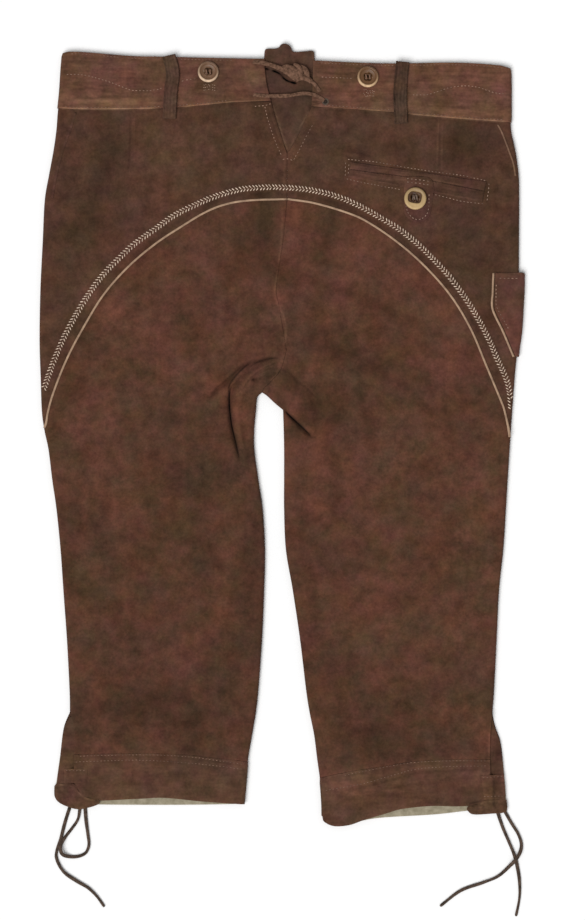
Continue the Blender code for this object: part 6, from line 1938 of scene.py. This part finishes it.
def eyelet():
    """The worked hole in the right band that the lower lace goes into, its hole filled with near-black rings as
    painted shade.
    """
    z = surface(np.array([EYELET]))[0]
    angles = np.linspace(0.0, 2 * math.pi, 33)

    def ring(out, up):
        x, y = EYELET[0] + out * np.cos(angles), EYELET[1] + out * np.sin(angles)
        return np.column_stack([x, y, np.full(33, z + up)])

    worked = [ring(EYELET_RADIUS - 0.5, 0.15), ring(EYELET_RADIUS + 0.1, -0.05)]
    strands_on("eyelet_ring", worked, 0.8, EYELET_FINISH, fade=1.0)
    # near-black rings in the hole: painted shade
    hole = [ring(out, -0.15) for out in (0.5, 1.1, 1.7, 2.3)]
    strands_on("eyelet_hole_shade", hole, 0.7, HOLE_SHADE_FINISH, fade=1.0)


# ---------------------------------------------------------------- sewing


def all_shells():
    """One tree of every shell, to drop sewing on to."""
    points, polygons = [], []
    for piece in SHELLS:
        start = len(points)
        points += [v.co.copy() for v in piece.data.vertices]
        polygons += [tuple(start + k for k in p.vertices) for p in piece.data.polygons]
    return BVHTree.FromPolygons(points, polygons)


def surface(points):
    """Height in mm of the uppermost hide under each place on the board."""
    heights = []
    for x, y, _ in to_world(np.column_stack([points, np.zeros(len(points))])):
        hit = TREE.ray_cast(Vector((x, y, 0.05)), Vector((0, 0, -1)))[0]
        heights.append(hit.z / MM if hit else 0.0)
    return np.array(heights)


LOOP_LINES = (smooth(LOOP_LEFT, ALONG), smooth(LOOP_RIGHT, ALONG))


def stitch_row(line, pick):
    """Places of the stitches along one row: five points each, their ends sunk in the hide."""
    line = smooth(line, 0.5)
    along = np.arange(len(line)) * np.linalg.norm(line[1] - line[0])
    count = max(1, int(along[-1] / SEWING_PITCH))
    paths = []
    for k in range(count):
        start = (k + 0.18 + pick.uniform(-0.05, 0.05)) * along[-1] / count
        end = (k + 0.74 + pick.uniform(-0.06, 0.06)) * along[-1] / count
        spots = on_line(line, along, np.linspace(start, end, 5)) + pick.normal(0.0, 0.07, 2)
        lift = SEWING_THICK * np.array([-0.85, 0.0, 0.16, 0.0, -0.85]) + pick.uniform(-0.12, 0.04)
        level = surface(spots)
        under_loop = any(nearest(spots[2:3], middle)[0][0] < 8.0 for middle in LOOP_LINES)
        if level.min() > ON_HIDE and not under_loop:
            paths.append(np.column_stack([spots, level + lift]))
    return paths


def sew():
    """All the rows of sewing, the button threads' bars and the embroidery."""
    for name, thread, rows in SEWING:
        pick = np.random.default_rng(len(name))
        paths = [path for row in rows for path in stitch_row(row, pick)]
        strands_on(name, paths, SEWING_THICK, THREADS[thread])
    pick = np.random.default_rng(11)
    paths = []
    for left, top, across, deep in BUTTON_CLUSTERS:
        for row in range(deep):
            for k in range(across):
                x, y = left + 2.1 * k + pick.normal(0, 0.4), top + 2.6 * row + pick.normal(0, 0.4) + 0.1 * k
                turn = pick.normal(0.2, 0.4)
                run = np.linspace(-0.6, 0.6, 5)
                spots = np.column_stack([x + run * math.cos(turn), y + run * math.sin(turn)])
                lift = SEWING_THICK * np.array([-0.7, 0.1, 0.3, 0.1, -0.7])
                paths.append(np.column_stack([spots, surface(spots) + lift]))
    strands_on("button_bars", paths, SEWING_THICK, THREAD_BARS)
    embroider()


def embroider():
    """Two columns of slanting cream stitches that meet in chevrons along the arch."""
    line = smooth(ARCH_EMBROIDERY, 0.5)
    along = np.arange(len(line)) * np.linalg.norm(line[1] - line[0])
    ahead = unit(np.gradient(line, axis=0))
    aside = right_of(ahead)
    pick = np.random.default_rng(3)
    count = int(along[-1] / EMBROIDERY_PITCH)
    back = np.linspace(0.0, -2.3, 5)
    lift = THREAD * np.array([-0.5, 0.22, 0.36, 0.24, -0.6])
    paths = []
    for k in range(count):
        for side in (-1.0, 1.0):
            at = (k + 0.5 + pick.uniform(-0.06, 0.06) + (0.0 if side < 0 else 0.3)) * along[-1] / count
            spot = min(int(at / 0.5), len(line) - 1)
            across = np.linspace(0.15, EMBROIDERY_WIDTH / 2 * pick.uniform(0.94, 1.06), 5)
            spots = line[spot] + side * across[:, None] * aside[spot] + back[:, None] * ahead[spot]
            level = surface(spots)
            if level.min() > ON_HIDE:
                paths.append(np.column_stack([spots, level + lift]))
    strands_on("arch_embroidery", paths, THREAD, THREAD_CREAM, fade=0.7)


# ---------------------------------------------------------------- floor and light


def floor_and_light():
    """A pale floor and soft even light from over the lower left."""
    mesh = bpy.data.meshes.new("floor")
    corners = [(x * FLOOR_REACH, y * FLOOR_REACH, 0) for x, y in ((-1, -1), (1, -1), (1, 1), (-1, 1))]
    mesh.from_pydata(corners, [], [(0, 1, 2, 3)])
    mesh.materials.append(Finish("floor_finish", 0.9, specular=0.1).done((0.93, 0.93, 0.93, 1.0)))
    placed("floor", mesh, (0.0, 0.0, -FLOOR_DROP))
    world = bpy.data.worlds.new("studio")
    world.use_nodes = True
    sky = world.node_tree.nodes["Background"].inputs
    sky[0].default_value, sky[1].default_value = (1.0, 1.0, 1.0, 1.0), SKY
    bpy.context.scene.world = world
    light = bpy.data.lights.new("key", "SUN")
    light.angle, light.energy = SUN_ANGLE, SUN_ENERGY
    placed("key", light).rotation_euler = Vector(SUN_FROM).to_track_quat("Z", "Y").to_euler()


set_camera()
knee_laces()
front_panels()
front_bands()
yokes()
seat_legs()
back_bands()
gusset()
belt_loops()
pocket_tab()
side_pocket()
knee_slits()
buttons()
back_laces()
TREE = all_shells()
eyelet()
sew()
floor_and_light()
